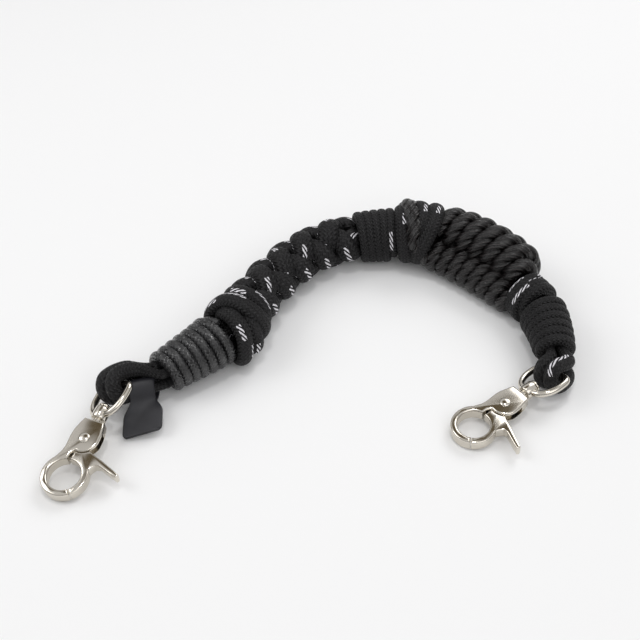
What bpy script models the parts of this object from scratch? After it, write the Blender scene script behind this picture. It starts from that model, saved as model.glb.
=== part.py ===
"""Short lead rope: knotted, braided and whipped cord between two swivel trigger hooks.

Metres, +Z up. The rope lies on the plane z = 0 in a shallow arch, +X from the left
hook towards the right hook, +Y towards the inside of the arch's crown. The origin is
the middle of the object's footprint. Every size below is in millimetres and is turned
to metres by MM.
"""

import math

import bmesh
import bpy
from mathutils import Matrix, Vector

MM = 0.001
GAP = 0.3                       # clearance between pieces that touch on the real rope

# ---------------------------------------------------------------- driving dimensions
ORIGIN = Vector((0.42, -18.62, 0.0))      # middle of the footprint, in route coordinates

# Centre line of the rope, left to right, chosen by hand.
ROUTE = [
    (-59.5, -40.5, 8.0), (-48.0, -31.0, 9.2), (-38.0, -22.5, 10.3), (-30.5, -13.0, 11.0),
    (-23.8, 1.0, 10.3), (-15.8, 15.5, 9.4), (-5.8, 27.7, 9.2), (5.5, 35.0, 9.3),
    (16.5, 37.4, 9.9), (29.0, 37.8, 10.6), (40.0, 36.0, 11.1), (51.0, 30.0, 11.0),
    (62.0, 21.5, 10.6), (71.0, 11.5, 10.0), (77.2, 2.2, 9.3), (80.9, -6.5, 9.1),
    (82.4, -16.5, 9.0), (82.6, -25.0, 8.6), (82.0, -32.0, 7.8),
]

# Stations along the centre line (start, end).
CONE_AT = (4.5, 33.5)
KNOT_AT = (34.0, 51.0)
BRAID_AT = (51.0, 109.0)
WRAP_AT = (109.5, 127.0)
COLLAR_AT = (127.5, 140.0)
SATIN_AT = (142.0, 180.0)
TRACER_AT = (182.5, 195.0)
WHIP_AT = (195.4, 217.5)

# The two sorts of plain cord.
CORD_D = 5.0                    # round braided cord, where it is loose
PACKED = 0.66                   # its thickness under a whipping, as a share of CORD_D
PACKED_R = 2.58                 # distance of the four packed cords from the centre line
MOUTH_R = 3.6                   # the same at the cone's mouth, where the cords fan out
BORE_R = 4.6                    # bore of every whipping over four packed cords
MOUTH_BORE_R = 6.2              # bore at the cone's mouth

# Four-strand round braid.
BRAID_LEAD = 25.78
BRAID_MID_R = 4.15
BRAID_SWING = 2.05              # how far a strand moves out and in as it passes others
BRAIDED = 0.74                  # strand thickness in the braid, as a share of CORD_D

# Pair of satin cord windings, side by side and leaning against each other.
PAIR_TILT = math.radians(33.0)  # from the horizontal, the outer winding being the higher
PAIR_REACH = (4.65, 7.15)       # from the centre line to each winding: at its ends, mid
OUTER_WINDING_R = (4.6, 7.9)    # outer radius at its ends and in its middle
INNER_WINDING_R = (4.2, 6.4)
WINDING_BORE_R = 2.1
CORE_SHARE = 0.54               # thickness of the core inside a winding, of CORD_D

# Swivel trigger hook. Local axes: u to the lever side, v from ring to swivel, w up.
RING_OUTER_R = 7.8
RING_INNER_R = 5.5
HOOK_T = 4.4                    # thickness of the hook body
SLOT_T = 2.6                    # width of the slot between its two cheeks
GATE_T = 3.8                    # thickness of the gate outside the slot
TONGUE_T = 2.3                  # thickness of the gate inside the slot
RIVET_V = 14.0                  # rivet centre, from the ring's centre
RIVET_R = 1.0
RIVET_HEAD_R = 1.9
PLATE_R = 5.1                   # round lower edge of the cheeks, about the rivet
PLATE_END_V = 21.2
GAP_ANGLE = -50.0               # where hook nose and gate meet, degrees about the ring
POST_R = 1.5
SOCKET_V = 18.4
BARREL_R = 2.7
BARREL_V = (22.4, 27.0)
DOME_R = 2.3
DOME_TOP_V = 28.7
EYE_WIRE_R = 1.2
EYE_HALF_W = 7.2                # half width of the D, to its wire's centre
BAR_V = 37.0                    # straight far bar of the D
BIGHT_R = 4.1                   # centre line of the cord round that bar
PAIR_OFFSET = 2.65              # of each of the two cords from the middle of the bar

# Where the tag is folded on the lower leg of the left front cord, and that leg's course.
TAG_HOLD = Vector((-59.8, -42.5, 7.3))
TAG_CORD_WAY = Vector((0.85, 0.47, -0.23)).normalized()

# Points between each eye and the rope: over the eye's bar, then under it.
LEFT_FRONT_VIA = (((-66.2, -39.4, 15.2), (-61.2, -38.2, 13.2)),
                  [tuple(TAG_HOLD + TAG_CORD_WAY * x) for x in (-3.3, 0.0, 3.3)])
LEFT_BACK_VIA = (((-70.8, -35.2, 12.2), (-66.0, -32.6, 12.0), (-61.0, -34.8, 10.9)),
                 ((-66.9, -38.0, 4.6), (-62.6, -35.6, 4.6)))
RIGHT_CORE_VIA = (((80.2, -30.0, 11.0),), ((81.8, -29.9, 3.3),))
RIGHT_LOOP_VIA = (((85.6, -32.4, 11.0),), ((86.6, -32.2, 3.5),))

HOOKS = {
    # ring centre, direction from ring to swivel, turn of the eye on its swivel
    "left": ((-81.4, -77.6, 3.75), (0.351, 0.917, 0.186), 32.0),
    "right": ((51.4, -56.0, 3.05), (0.81, 0.577, 0.117), 18.0),
}

# Leather tag.
TAG_W = 12.5
TAG_NECK_W = 6.4                # where it is folded on the cord
TAG_T = 0.9
TAG_LENGTH = 16.5               # of the flap, from the middle of the cord it is folded on


# ------------------------------------------------------------------------- materials
def material(name, colour, roughness, metallic=0.0):
    """A Principled material with one colour."""
    mat = bpy.data.materials.new(name)
    mat.use_nodes = True
    shader = mat.node_tree.nodes["Principled BSDF"]
    shader.inputs["Base Color"].default_value = (*colour, 1.0)
    shader.inputs["Roughness"].default_value = roughness
    shader.inputs["Metallic"].default_value = metallic
    return mat


# ---------------------------------------------------------------------------- curves
def catmull_rom(points, per_span):
    """Smooth curve through the points, with per_span steps between neighbours."""
    knots = [Vector(p) for p in points]
    knots = [2 * knots[0] - knots[1]] + knots + [2 * knots[-1] - knots[-2]]
    curve = []
    for a, b, c, d in zip(knots, knots[1:], knots[2:], knots[3:]):
        for step in range(per_span):
            t = step / per_span
            curve.append(0.5 * (2 * b + (c - a) * t + (2 * a - 5 * b + 4 * c - d) * t * t
                                + (3 * b - a - 3 * c + d) * t ** 3))
    curve.append(knots[-2])
    return curve


class Strap:
    """The rope's centre line, read by distance along it."""

    def __init__(self):
        self.curve = [p - ORIGIN for p in catmull_rom(ROUTE, 24)]
        self.at = [0.0]
        for a, b in zip(self.curve, self.curve[1:]):
            self.at.append(self.at[-1] + (b - a).length)

    def frame(self, s):
        """Centre, direction, front (towards -Y on the crown) and up at station s."""
        s = min(max(s, 0.0), self.at[-1])
        i = next(k for k in range(1, len(self.at)) if self.at[k] >= s)
        t = (s - self.at[i - 1]) / (self.at[i] - self.at[i - 1])
        centre = self.curve[i - 1].lerp(self.curve[i], t)
        lo, hi = max(i - 4, 0), min(i + 3, len(self.curve) - 1)
        along = (self.curve[hi] - self.curve[lo]).normalized()
        front = along.cross(Vector((0, 0, 1))).normalized()
        return centre, along, front, front.cross(along)

    def point(self, s, angle, radius):
        """Point off the centre line; angle 0 is up and 90 degrees is the front."""
        centre, _, front, up = self.frame(s)
        return centre + (up * math.cos(angle) + front * math.sin(angle)) * radius


def mix(a, b, t):
    """Straight blend of two numbers."""
    return a + (b - a) * t


def ease(t):
    """Smooth step from 0 to 1."""
    t = min(max(t, 0.0), 1.0)
    return t * t * (3 - 2 * t)


# ---------------------------------------------------------------------- mesh helpers
def add_object(name, bm, mat, matrix=None, smooth=40.0):
    """Finish a bmesh, given in millimetres, as one named object."""
    bmesh.ops.recalc_face_normals(bm, faces=bm.faces)
    mesh = bpy.data.meshes.new(name)
    bmesh.ops.scale(bm, vec=(MM, MM, MM), verts=bm.verts)
    bm.to_mesh(mesh)
    bm.free()
    mesh.shade_smooth()
    mesh.set_sharp_from_angle(angle=math.radians(smooth))
    obj = bpy.data.objects.new(name, mesh)
    bpy.context.scene.collection.objects.link(obj)
    mesh.materials.append(mat)
    if matrix is not None:
        obj.matrix_world = matrix
    return obj


def add_tube(name, points, radii, mat):
    """Cord as a bevelled POLY curve; radii are shares of CORD_D / 2."""
    data = bpy.data.curves.new(name, "CURVE")
    data.dimensions = "3D"
    data.twist_mode = "MINIMUM"
    data.bevel_depth = CORD_D / 2 * MM
    data.bevel_resolution = 2
    data.use_fill_caps = True
    spline = data.splines.new("POLY")
    spline.points.add(len(points) - 1)
    for knot, place, radius in zip(spline.points, points, radii):
        knot.co = (*(place * MM), 1.0)
        knot.radius = radius
    data.materials.append(mat)
    obj = bpy.data.objects.new(name, data)
    bpy.context.scene.collection.objects.link(obj)
    return obj


def loft(bm, rings, closed=True):
    """Join rings of vertices in order; the last ring joins the first when closed."""
    pairs = list(zip(rings, rings[1:]))
    if closed:
        pairs.append((rings[-1], rings[0]))
    for low, high in pairs:
        count = len(low)
        for k in range(count):
            bm.faces.new((low[k], low[(k + 1) % count], high[(k + 1) % count], high[k]))


def sleeve(name, mat, stations, centre_at, outer_r, bore_r, turns, sides=16):
    """Hollow winding round the rope, with one rounded ridge for each turn of cord.

    centre_at(s) gives centre, front and up; outer_r(t) and bore_r(t) are the crest
    and bore radii at share t of its length.
    """
    bm = bmesh.new()
    start, end = stations
    steps = max(3 * turns, 6)
    ridge = 0.7 if turns else 0.0

    def ring(s, radius):
        centre, front, up = centre_at(s)
        turn = [2 * math.pi * k / sides for k in range(sides)]
        return [bm.verts.new(centre + (up * math.cos(a) + front * math.sin(a)) * radius)
                for a in turn]

    rings = []
    for k in range(steps + 1):
        t = k / steps
        dip = ridge * (1 - abs(math.sin(math.pi * turns * t))) if turns else 0.0
        rings.append(ring(mix(start, end, t), outer_r(t) - dip))
    inner = max(round((end - start) / 5), 2)
    shares = [1 - k / inner for k in range(inner + 1)]
    rings += [ring(mix(start, end, t), bore_r(t)) for t in shares]
    loft(bm, rings)
    return add_object(name, bm, mat)


def prism(outline, low, high):
    """Closed prism over a flat outline of (u, v) points, between two heights w."""
    bm = bmesh.new()
    base = [bm.verts.new((u, v, low)) for u, v in outline]
    top = [bm.verts.new((u, v, high)) for u, v in outline]
    bm.faces.new(reversed(base))
    bm.faces.new(top)
    loft(bm, [base, top], closed=False)
    bmesh.ops.recalc_face_normals(bm, faces=bm.faces)
    return bm


def turned(profile, sides=16):
    """Solid turned about the v axis from (radius, v) points, ends on the axis."""
    bm = bmesh.new()
    tip, tail = bm.verts.new((0, profile[0][1], 0)), bm.verts.new((0, profile[-1][1], 0))
    rings = []
    for radius, v in profile[1:-1]:
        turn = [2 * math.pi * (k + 0.5) / sides for k in range(sides)]
        rings.append([bm.verts.new((radius * math.cos(a), v, radius * math.sin(a)))
                      for a in turn])
    loft(bm, rings, closed=False)
    for k in range(sides):
        bm.faces.new((tip, rings[0][(k + 1) % sides], rings[0][k]))
        bm.faces.new((tail, rings[-1][k], rings[-1][(k + 1) % sides]))
    bmesh.ops.recalc_face_normals(bm, faces=bm.faces)
    return bm


def arc(radius, start, end, steps, centre=(0.0, 0.0)):
    """Points of an arc in the (u, v) plane, angles in degrees from +u."""
    angles = [math.radians(mix(start, end, k / steps)) for k in range(steps + 1)]
    return [(centre[0] + radius * math.cos(a), centre[1] + radius * math.sin(a))
            for a in angles]


def bevel_rims(bm, width, low, high):
    """Round off the edges that bound the flat faces at two heights."""
    rims = [e for e in bm.edges
            if all(abs(v.co.z - low) < 1e-6 for v in e.verts)
            or all(abs(v.co.z - high) < 1e-6 for v in e.verts)]
    bmesh.ops.bevel(bm, geom=rims, offset=width, segments=1, profile=0.5,
                    affect="EDGES", clamp_overlap=True)


def boolean(target, cutter_bm, operation, matrix=None):
    """Apply one exact Boolean to a hidden-cutter copy and drop the cutter."""
    mesh = bpy.data.meshes.new("cutter")
    bmesh.ops.scale(cutter_bm, vec=(MM, MM, MM), verts=cutter_bm.verts)
    cutter_bm.to_mesh(mesh)
    cutter_bm.free()
    cutter = bpy.data.objects.new("cutter", mesh)
    bpy.context.scene.collection.objects.link(cutter)
    cutter.hide_render = True
    cutter.display_type = "WIRE"
    if matrix is not None:
        cutter.matrix_world = matrix
    modifier = target.modifiers.new("cut", "BOOLEAN")
    modifier.operation = operation
    modifier.object = cutter
    modifier.solver = "EXACT"
    bpy.context.view_layer.update()
    graph = bpy.context.evaluated_depsgraph_get()
    result = bpy.data.meshes.new_from_object(target.evaluated_get(graph))
    target.modifiers.clear()
    target.data = result
    bpy.data.objects.remove(cutter)


# -------------------------------------------------------------------- trigger hooks
def hook_axes(side):
    """World matrix of a hook: u to the lever, v to the swivel, w up, in metres."""
    place, along, _ = HOOKS[side]
    v = Vector(along).normalized()
    u = v.cross(Vector((0, 0, 1))).normalized()
    w = u.cross(v)
    matrix = Matrix((u, v, w)).transposed().to_4x4()
    matrix.translation = (Vector(place) - ORIGIN) * MM
    return matrix


def eye_axes(side):
    """World matrix of the eye: the hook's, turned on the swivel."""
    return hook_axes(side) @ Matrix.Rotation(-math.radians(HOOKS[side][2]), 4, "Y")


def hook_body(side, mat):
    """Flat body with ring and nose; two cheeks hold the gate, a socket holds the post."""
    rivet = (0.0, RIVET_V)
    nose = GAP_ANGLE
    outline = arc(RING_OUTER_R, nose, -220.0, 15)
    outline += [(-5.0, 7.7), (-4.75, 9.6), (-4.9, 11.6), (-5.1, 13.6), (-5.0, 16.2),
                (-4.3, 19.2), (-3.6, PLATE_END_V), (3.6, PLATE_END_V), (4.3, 19.2),
                (4.9, 16.5)]
    outline += arc(PLATE_R, 0.0, -100.0, 9, rivet)
    outline += [(-1.6, 7.6)]
    outline += arc(RING_INNER_R, -253.0, nose, 15)
    half = HOOK_T / 2
    bm = prism(outline, -half, half)
    bevel_rims(bm, 0.45, -half, half)
    body = add_object(f"{side}_hook_body", bm, mat, hook_axes(side))
    slot = [(-1.45, 5.0), (-1.6, 8.4), (-3.9, 10.4), (-3.9, 17.8), (1.4, 17.8),
            (9.0, 17.2), (9.0, 5.0)]
    boolean(body, prism(slot, -SLOT_T / 2, SLOT_T / 2), "DIFFERENCE", hook_axes(side))
    hole = arc(RIVET_R + 0.06, 0.0, 337.5, 15, rivet)
    boolean(body, prism(hole, -half - 1, half + 1), "DIFFERENCE", hook_axes(side))
    socket = turned([(0, SOCKET_V), (POST_R + 0.06, SOCKET_V),
                     (POST_R + 0.06, PLATE_END_V + 1), (0, PLATE_END_V + 1)])
    boolean(body, socket, "DIFFERENCE", hook_axes(side))
    return body


def gate(side, mat):
    """Gate: half of the ring, the thumb lever and a tongue that turns on the rivet."""
    rivet = (0.0, RIVET_V)
    clear = PLATE_R + GAP
    start = GAP_ANGLE + 2.2
    ring = arc(RING_INNER_R, start, 98.0, 12)
    ring += [(-0.95, 8.6)]
    ring += arc(clear, -98.0, -42.0, 5, rivet)
    ring += [(5.6, 9.6), (9.5, 8.4), (14.2, 6.6), (16.5, 5.7), (16.8, 4.9), (16.3, 4.2),
             (14.0, 4.8), (9.4, 6.3), (8.0, 6.0), (7.2, 4.6)]
    ring += arc(RING_OUTER_R, 28.0, start, 8)
    half = GATE_T / 2
    bm = prism(ring, -half, half)
    bevel_rims(bm, 0.4, -half, half)
    piece = add_object(f"{side}_gate", bm, mat, hook_axes(side))
    tongue = [(-0.95, 7.0), (-1.1, 9.3)]
    tongue += arc(2.5, -140.0, -200.0, 4, rivet)
    tongue += [(-1.2, 17.4), (1.0, 17.4)]
    tongue += arc(2.9, 30.0, -10.0, 4, rivet)
    tongue += [(3.6, 10.2), (4.0, 7.4)]
    boolean(piece, prism(tongue, -TONGUE_T / 2, TONGUE_T / 2), "UNION", hook_axes(side))
    hole = arc(RIVET_R + 0.1, 0.0, 337.5, 15, rivet)
    boolean(piece, prism(hole, -half - 1, half + 1), "DIFFERENCE", hook_axes(side))
    return piece


def rivet_pin(side, mat):
    """Domed rivet through both cheeks and the gate."""
    face = HOOK_T / 2 + 0.05
    profile = [(0, -face - 0.6), (1.2, -face - 0.45), (RIVET_HEAD_R, -face),
               (RIVET_R, -face), (RIVET_R, face), (RIVET_HEAD_R, face),
               (1.2, face + 0.45), (0, face + 0.6)]
    upright = Matrix.Translation((0, RIVET_V * MM, 0)) @ Matrix.Rotation(math.pi / 2, 4, "X")
    return add_object(f"{side}_rivet", turned(profile), mat, hook_axes(side) @ upright)


def gate_spring(side, mat):
    """Small coil spring in the slot, between the body's wall and the gate's heel."""
    turns, steps, sides = 4, 9, 5
    coil_r, wire_r = 0.65, 0.16
    start, end = -3.6, -1.95
    bm = bmesh.new()
    rings = []
    for k in range(turns * steps + 1):
        t = k / (turns * steps)
        a = 2 * math.pi * turns * t
        out = Vector((0, math.cos(a), math.sin(a)))
        centre = Vector((mix(start, end, t), 16.75, 0)) + out * coil_r
        rings.append([bm.verts.new(centre + (out * math.cos(b) + Vector((1, 0, 0))
                                             * math.sin(b)) * wire_r)
                      for b in (2 * math.pi * j / sides for j in range(sides))])
    loft(bm, rings, closed=False)
    bm.faces.new(reversed(rings[0]))
    bm.faces.new(rings[-1])
    return add_object(f"{side}_gate_spring", bm, mat, hook_axes(side))


def swivel_post(side, mat):
    """Post fixed in the body's socket, run through the eye's barrel and domed over."""
    profile = [(0, SOCKET_V + 0.1), (POST_R, SOCKET_V + 0.1), (POST_R, 27.15),
               (DOME_R, 27.2), (DOME_R, 27.6), (1.7, 28.3), (0.9, DOME_TOP_V - 0.1),
               (0, DOME_TOP_V)]
    return add_object(f"{side}_swivel_post", turned(profile), mat, hook_axes(side))


def swivel_eye(side, mat):
    """D-shaped eye: a barrel that turns on the post, and a bail with a straight bar."""
    low, high = BARREL_V
    middle = (low + high) / 2
    barrel = turned([(0, low), (BARREL_R - 0.3, low), (BARREL_R, low + 0.4),
                     (BARREL_R, high - 0.4), (BARREL_R - 0.3, high), (0, high)])
    eye = add_object(f"{side}_swivel_eye", barrel, mat, eye_axes(side))
    half = [(2.0, middle), (4.3, middle + 0.7), (6.2, middle + 2.8),
            (EYE_HALF_W, middle + 5.8), (EYE_HALF_W, BAR_V - 2.6),
            (EYE_HALF_W - 0.7, BAR_V - 0.7), (EYE_HALF_W - 2.6, BAR_V), (0.0, BAR_V)]
    outline = half[:-1] + [(-u, v) for u, v in reversed(half)]
    path = catmull_rom([(u, v, 0.0) for u, v in outline], 3)
    sides = 8
    wire = bmesh.new()
    rings = []
    for k, place in enumerate(path):
        ahead = path[min(k + 1, len(path) - 1)] - path[max(k - 1, 0)]
        out = Vector((ahead.y, -ahead.x, 0)).normalized()
        rings.append([wire.verts.new(place + (out * math.cos(a) + Vector((0, 0, 1))
                                              * math.sin(a)) * EYE_WIRE_R)
                      for a in (2 * math.pi * (j + 0.5) / sides for j in range(sides))])
    loft(wire, rings, closed=False)
    wire.faces.new(reversed(rings[0]))
    wire.faces.new(rings[-1])
    bmesh.ops.recalc_face_normals(wire, faces=wire.faces)
    boolean(eye, wire, "UNION", eye_axes(side))
    bore = turned([(0, low - 1), (POST_R + 0.12, low - 1), (POST_R + 0.12, high + 1),
                   (0, high + 1)], sides=24)
    boolean(eye, bore, "DIFFERENCE", eye_axes(side))
    return eye


# ----------------------------------------------------------------------------- cords
def bight(side, offset, steps=8):
    """Half turn of cord round the eye's bar, from above it, past the hook side, below."""
    frame = eye_axes(side)
    u, v, w = (frame.to_3x3().col[k].normalized() for k in range(3))
    centre = frame.translation / MM + v * BAR_V + u * offset
    turn = [math.pi * k / steps for k in range(steps + 1)]
    return [centre + (w * math.cos(a) - v * math.sin(a)) * BIGHT_R for a in turn]


def braid_leg(strap, angle, way):
    """One strand from the cone's mouth to the wraps; way is +1 or -1 round the braid."""
    points, radii = [], []
    start, end = BRAID_AT
    s = CONE_AT[0] + 1.0
    while s < WRAP_AT[1] + 2.0:
        wave = 2 * math.pi * (min(max(s, start), end) - start) / BRAID_LEAD
        inside = ease((s - start) / 4) * ease((end - s) / 4)
        swing = BRAID_SWING * way * math.sin(2 * wave)
        packed = mix(MOUTH_R, PACKED_R, ease((s - CONE_AT[0]) / 12))
        points.append(strap.point(s, angle + way * wave,
                                  mix(packed, BRAID_MID_R + swing, inside)))
        radii.append(mix(PACKED, BRAIDED, inside))
        s += (1.0 if end - 7 < s < end + 3 else 2.0 if start - 6.5 < s < end + 5 else 6.0)
    return points, radii


def thickening(points, reach):
    """Shares of CORD_D from a packed start to full thickness at distance reach."""
    return [mix(PACKED, 1.0, ease(((p - points[0]).length - 2.0) / reach)) for p in points]


def left_cord(strap, name, offset, corner, over, under, mat):
    """Cord folded round the left eye; both legs run on through the braid to the wraps.

    over and under are the points that its two legs pass between eye and cone.
    """
    turn = bight("left", offset)
    upper, upper_r = braid_leg(strap, corner, 1 if offset > 0 else -1)
    lower_corner = math.pi - corner
    lower, lower_r = braid_leg(strap, lower_corner, -1 if offset > 0 else 1)
    over = [Vector(p) - ORIGIN for p in over]
    under = [Vector(p) - ORIGIN for p in under]
    ends = catmull_rom([upper[1], upper[0]] + over[::-1] + [turn[0], turn[1]], 3)[3:-3]
    back = catmull_rom([turn[-2], turn[-1]] + under + [lower[0], lower[1]], 3)[3:-3]
    points = upper[:0:-1] + ends + turn[1:-1] + back + lower[1:]
    radii = (upper_r[:0:-1] + thickening(ends, 8.0) + [1.0] * (len(turn) - 2)
             + thickening(back[::-1], 7.0)[::-1] + lower_r[1:])
    return add_tube(name, points, radii, mat)


def pair_point(strap, s, way, reach):
    """Centre of a satin winding; way is +1 for the outer one, -1 for the inner."""
    centre, _, front, up = strap.frame(s)
    return centre + (up * math.sin(PAIR_TILT) - front * math.cos(PAIR_TILT)) * way * reach


def pair_reach(s):
    """Distance of each winding from the centre line, less towards their ends."""
    start, end = SATIN_AT
    t = (s - start) / (end - start)
    return mix(PAIR_REACH[0], PAIR_REACH[1], math.sin(math.pi * min(max(t, 0), 1)) ** 0.6)


def core_leg(strap, angle, way):
    """Leg of the core cord: through the whippings, then inside one satin winding."""
    points, radii = [], []
    winding_angle = PAIR_TILT - way * math.pi / 2
    s = WHIP_AT[1] - 1.5
    while s > COLLAR_AT[0] + 4.0:
        turned_by = ease((TRACER_AT[1] - 4.5 - s) / 6.5)
        spread = ease((TRACER_AT[0] + 0.9 - s) / 4.0) * ease((s - COLLAR_AT[1] + 0.9) / 4.0)
        points.append(strap.point(s, mix(angle, winding_angle, turned_by),
                                  mix(PACKED_R, pair_reach(s), spread)))
        radii.append(mix(PACKED, CORE_SHARE, ease((TRACER_AT[0] + 5 - s) / 4)))
        near_end = abs(s - TRACER_AT[0]) < 9 or abs(s - COLLAR_AT[1]) < 6
        s -= 1.4 if near_end else 4.2
    return points, radii


def right_cord(name, offset, over, under, legs, mat):
    """Cord folded round the right eye, with the two legs given as (points, radii)."""
    (upper, upper_r), (lower, lower_r) = legs
    turn = bight("right", offset)
    over = [Vector(p) - ORIGIN for p in over]
    under = [Vector(p) - ORIGIN for p in under]
    ends = catmull_rom([upper[1], upper[0]] + over[::-1] + [turn[0], turn[1]], 3)[3:-3]
    back = catmull_rom([turn[-2], turn[-1]] + under + [lower[0], lower[1]], 3)[3:-3]
    points = upper[:0:-1] + ends + turn[1:-1] + back + lower[1:]
    radii = (upper_r[:0:-1] + thickening(ends, 6.0) + [1.0] * (len(turn) - 2)
             + thickening(back[::-1], 6.0)[::-1] + lower_r[1:])
    return add_tube(name, points, radii, mat)


def short_leg(strap, angle):
    """Leg that ends under the tracer collar."""
    stations = [WHIP_AT[1] - 1.5 - 5.0 * k for k in range(6)]
    return [strap.point(s, angle, PACKED_R) for s in stations], [PACKED] * 6


# ------------------------------------------------------------------- whippings, tag
def on_strap(strap):
    """Centre, front and up along the rope itself."""
    def centre_at(s):
        centre, _, front, up = strap.frame(s)
        return centre, front, up
    return centre_at


def on_pair(strap, way):
    """Centre, front and up along one of the two satin windings."""
    def centre_at(s):
        _, _, front, up = strap.frame(s)
        return pair_point(strap, s, way, pair_reach(s)), front, up
    return centre_at


def swell(ends, middle, power=0.6):
    """Radius that grows from the ends to the middle."""
    return lambda t: mix(ends, middle, math.sin(math.pi * t) ** power)


def even(radius):
    """The same radius all along."""
    return lambda t: radius


def taper(start, end):
    """Radius that changes evenly from start to end."""
    return lambda t: mix(start, end, t)


def leather_tag(strap, mat):
    """Strip folded round one loop cord, its two layers lying together outwards."""
    hold = TAG_HOLD - ORIGIN
    flap_way = Vector((0.95, 0.2, 0.18)).normalized()
    down = Vector((0.03, -0.935, -0.28)).normalized()
    lift = flap_way.cross(down).normalized() * -1
    if lift.z < 0:
        lift = -lift
    inner = CORD_D / 2 + 0.7
    middle = inner + TAG_T / 2
    profile = [(TAG_LENGTH, TAG_T / 2 + 0.1), (11.0, TAG_T / 2 + 0.1), (7.0, TAG_T / 2 + 0.3),
               (4.6, 1.15)]
    turn = [math.radians(a) for a in (50, 80, 110, 145, 180, 215, 250, 280, 310)]
    loop = [(middle * math.cos(a), middle * math.sin(a)) for a in turn]
    path = profile + loop + [(x, -y) for x, y in reversed(profile)]
    bm = bmesh.new()
    rings = []
    for k, (x, y) in enumerate(path):
        ahead = Vector(path[min(k + 1, len(path) - 1)]) - Vector(path[max(k - 1, 0)])
        out = Vector((ahead.y, -ahead.x)).normalized() * TAG_T / 2
        open_out = ease((x - 4.0) / 7.0)
        wide = TAG_CORD_WAY.lerp(flap_way, open_out).normalized()
        wide *= mix(TAG_NECK_W, TAG_W, open_out) / 2
        spot = [(x + out.x, y + out.y), (x - out.x, y - out.y)]
        inner_side, outer_side = (hold + down * a + lift * b for a, b in spot)
        rings.append([bm.verts.new(p) for p in (inner_side - wide, inner_side + wide,
                                                outer_side + wide, outer_side - wide)])
    loft(bm, rings, closed=False)
    bm.faces.new(reversed(rings[0]))
    bm.faces.new(rings[-1])
    return add_object("leather_tag", bm, mat)


# ------------------------------------------------------------------------------ main
def main():
    """Build every piece."""
    for obj in list(bpy.data.objects):
        bpy.data.objects.remove(obj)
    strap = Strap()
    cord = material("braided_cord", (0.012, 0.012, 0.013), 0.75)
    waxed = material("waxed_cord", (0.014, 0.014, 0.015), 0.4)
    satin = material("satin_cord", (0.016, 0.015, 0.016), 0.45)
    leather = material("tag_leather", (0.02, 0.02, 0.022), 0.55)
    nickel = material("nickel_plate", (0.72, 0.69, 0.64), 0.2, 1.0)
    steel = material("spring_steel", (0.5, 0.5, 0.5), 0.35, 1.0)

    for side in HOOKS:
        hook_body(side, nickel)
        gate(side, nickel)
        rivet_pin(side, nickel)
        gate_spring(side, steel)
        swivel_post(side, nickel)
        swivel_eye(side, nickel)

    corner = math.radians(45.0)
    left_cord(strap, "left_cord_front", PAIR_OFFSET, corner, *LEFT_FRONT_VIA, cord)
    left_cord(strap, "left_cord_back", -PAIR_OFFSET, -corner, *LEFT_BACK_VIA, cord)
    core = (core_leg(strap, corner, 1), core_leg(strap, math.pi - corner, -1))
    right_cord("right_core_cord", -PAIR_OFFSET, *RIGHT_CORE_VIA, core, cord)
    short = (short_leg(strap, -corner), short_leg(strap, math.pi + corner))
    right_cord("right_loop_cord", PAIR_OFFSET, *RIGHT_LOOP_VIA, short, cord)

    along = on_strap(strap)
    bore = even(BORE_R)
    sleeve("cone_whipping", waxed, CONE_AT, along, taper(7.6, 10.1),
           taper(MOUTH_BORE_R, BORE_R), 8)
    sleeve("stopper_knot", cord, KNOT_AT, along, swell(8.6, 10.9, 0.7), bore, 0)
    sleeve("middle_wraps", cord, WRAP_AT, along, taper(9.2, 9.9), bore, 5)
    sleeve("loop_collar", cord, COLLAR_AT, along, swell(9.6, 10.7, 0.5), bore, 2)
    sleeve("outer_satin_winding", satin, SATIN_AT, on_pair(strap, 1),
           swell(*OUTER_WINDING_R), even(WINDING_BORE_R), 7)
    sleeve("inner_satin_winding", satin, SATIN_AT, on_pair(strap, -1),
           swell(*INNER_WINDING_R), even(WINDING_BORE_R), 8)
    sleeve("tracer_collar", cord, TRACER_AT, along, taper(8.7, 9.0), bore, 3)
    sleeve("end_whipping", cord, WHIP_AT, along, taper(9.0, 6.9),
           taper(BORE_R, MOUTH_BORE_R - 0.4), 6)
    leather_tag(strap, leather)


main()
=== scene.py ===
"""Lead rope: the finished looks of a short rope worked from cord, with two trigger hooks.

The rope is laid in an arch on a pale floor. Every sub-assembly is a class: the centre
line, the plain cords with their braid, the turned windings, the interlaced knot and
collar, the satin windings, the two hooks and the leather tag. Lengths are millimetres in
the classes and become metres where a mesh is made.
"""

from __future__ import annotations

import logging
import math
from dataclasses import dataclass
from enum import Enum
from typing import Any

import bpy
import numpy as np
from mathutils import Matrix

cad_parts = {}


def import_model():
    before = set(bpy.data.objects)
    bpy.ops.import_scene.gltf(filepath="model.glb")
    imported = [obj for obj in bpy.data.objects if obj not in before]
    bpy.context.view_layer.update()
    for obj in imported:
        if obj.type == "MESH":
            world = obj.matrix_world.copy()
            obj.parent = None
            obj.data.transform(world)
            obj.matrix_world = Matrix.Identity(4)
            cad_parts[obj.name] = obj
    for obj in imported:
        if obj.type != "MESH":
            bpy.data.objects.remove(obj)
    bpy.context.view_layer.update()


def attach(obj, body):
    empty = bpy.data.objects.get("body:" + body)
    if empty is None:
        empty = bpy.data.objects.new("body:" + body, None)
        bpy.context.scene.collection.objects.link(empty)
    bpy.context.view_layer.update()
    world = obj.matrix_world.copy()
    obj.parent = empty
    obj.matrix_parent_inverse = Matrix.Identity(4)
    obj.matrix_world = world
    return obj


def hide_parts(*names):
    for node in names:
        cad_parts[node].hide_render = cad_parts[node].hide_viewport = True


Array = np.ndarray
LOG = logging.getLogger("lead_rope")
MM = 0.001

# Middle of the footprint, in the coordinates that the rope was laid out in.
ORIGIN = np.array((0.42, -18.62, 0.0))


class Side(Enum):
    """The two ends of the rope."""

    LEFT = "left"
    RIGHT = "right"


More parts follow.
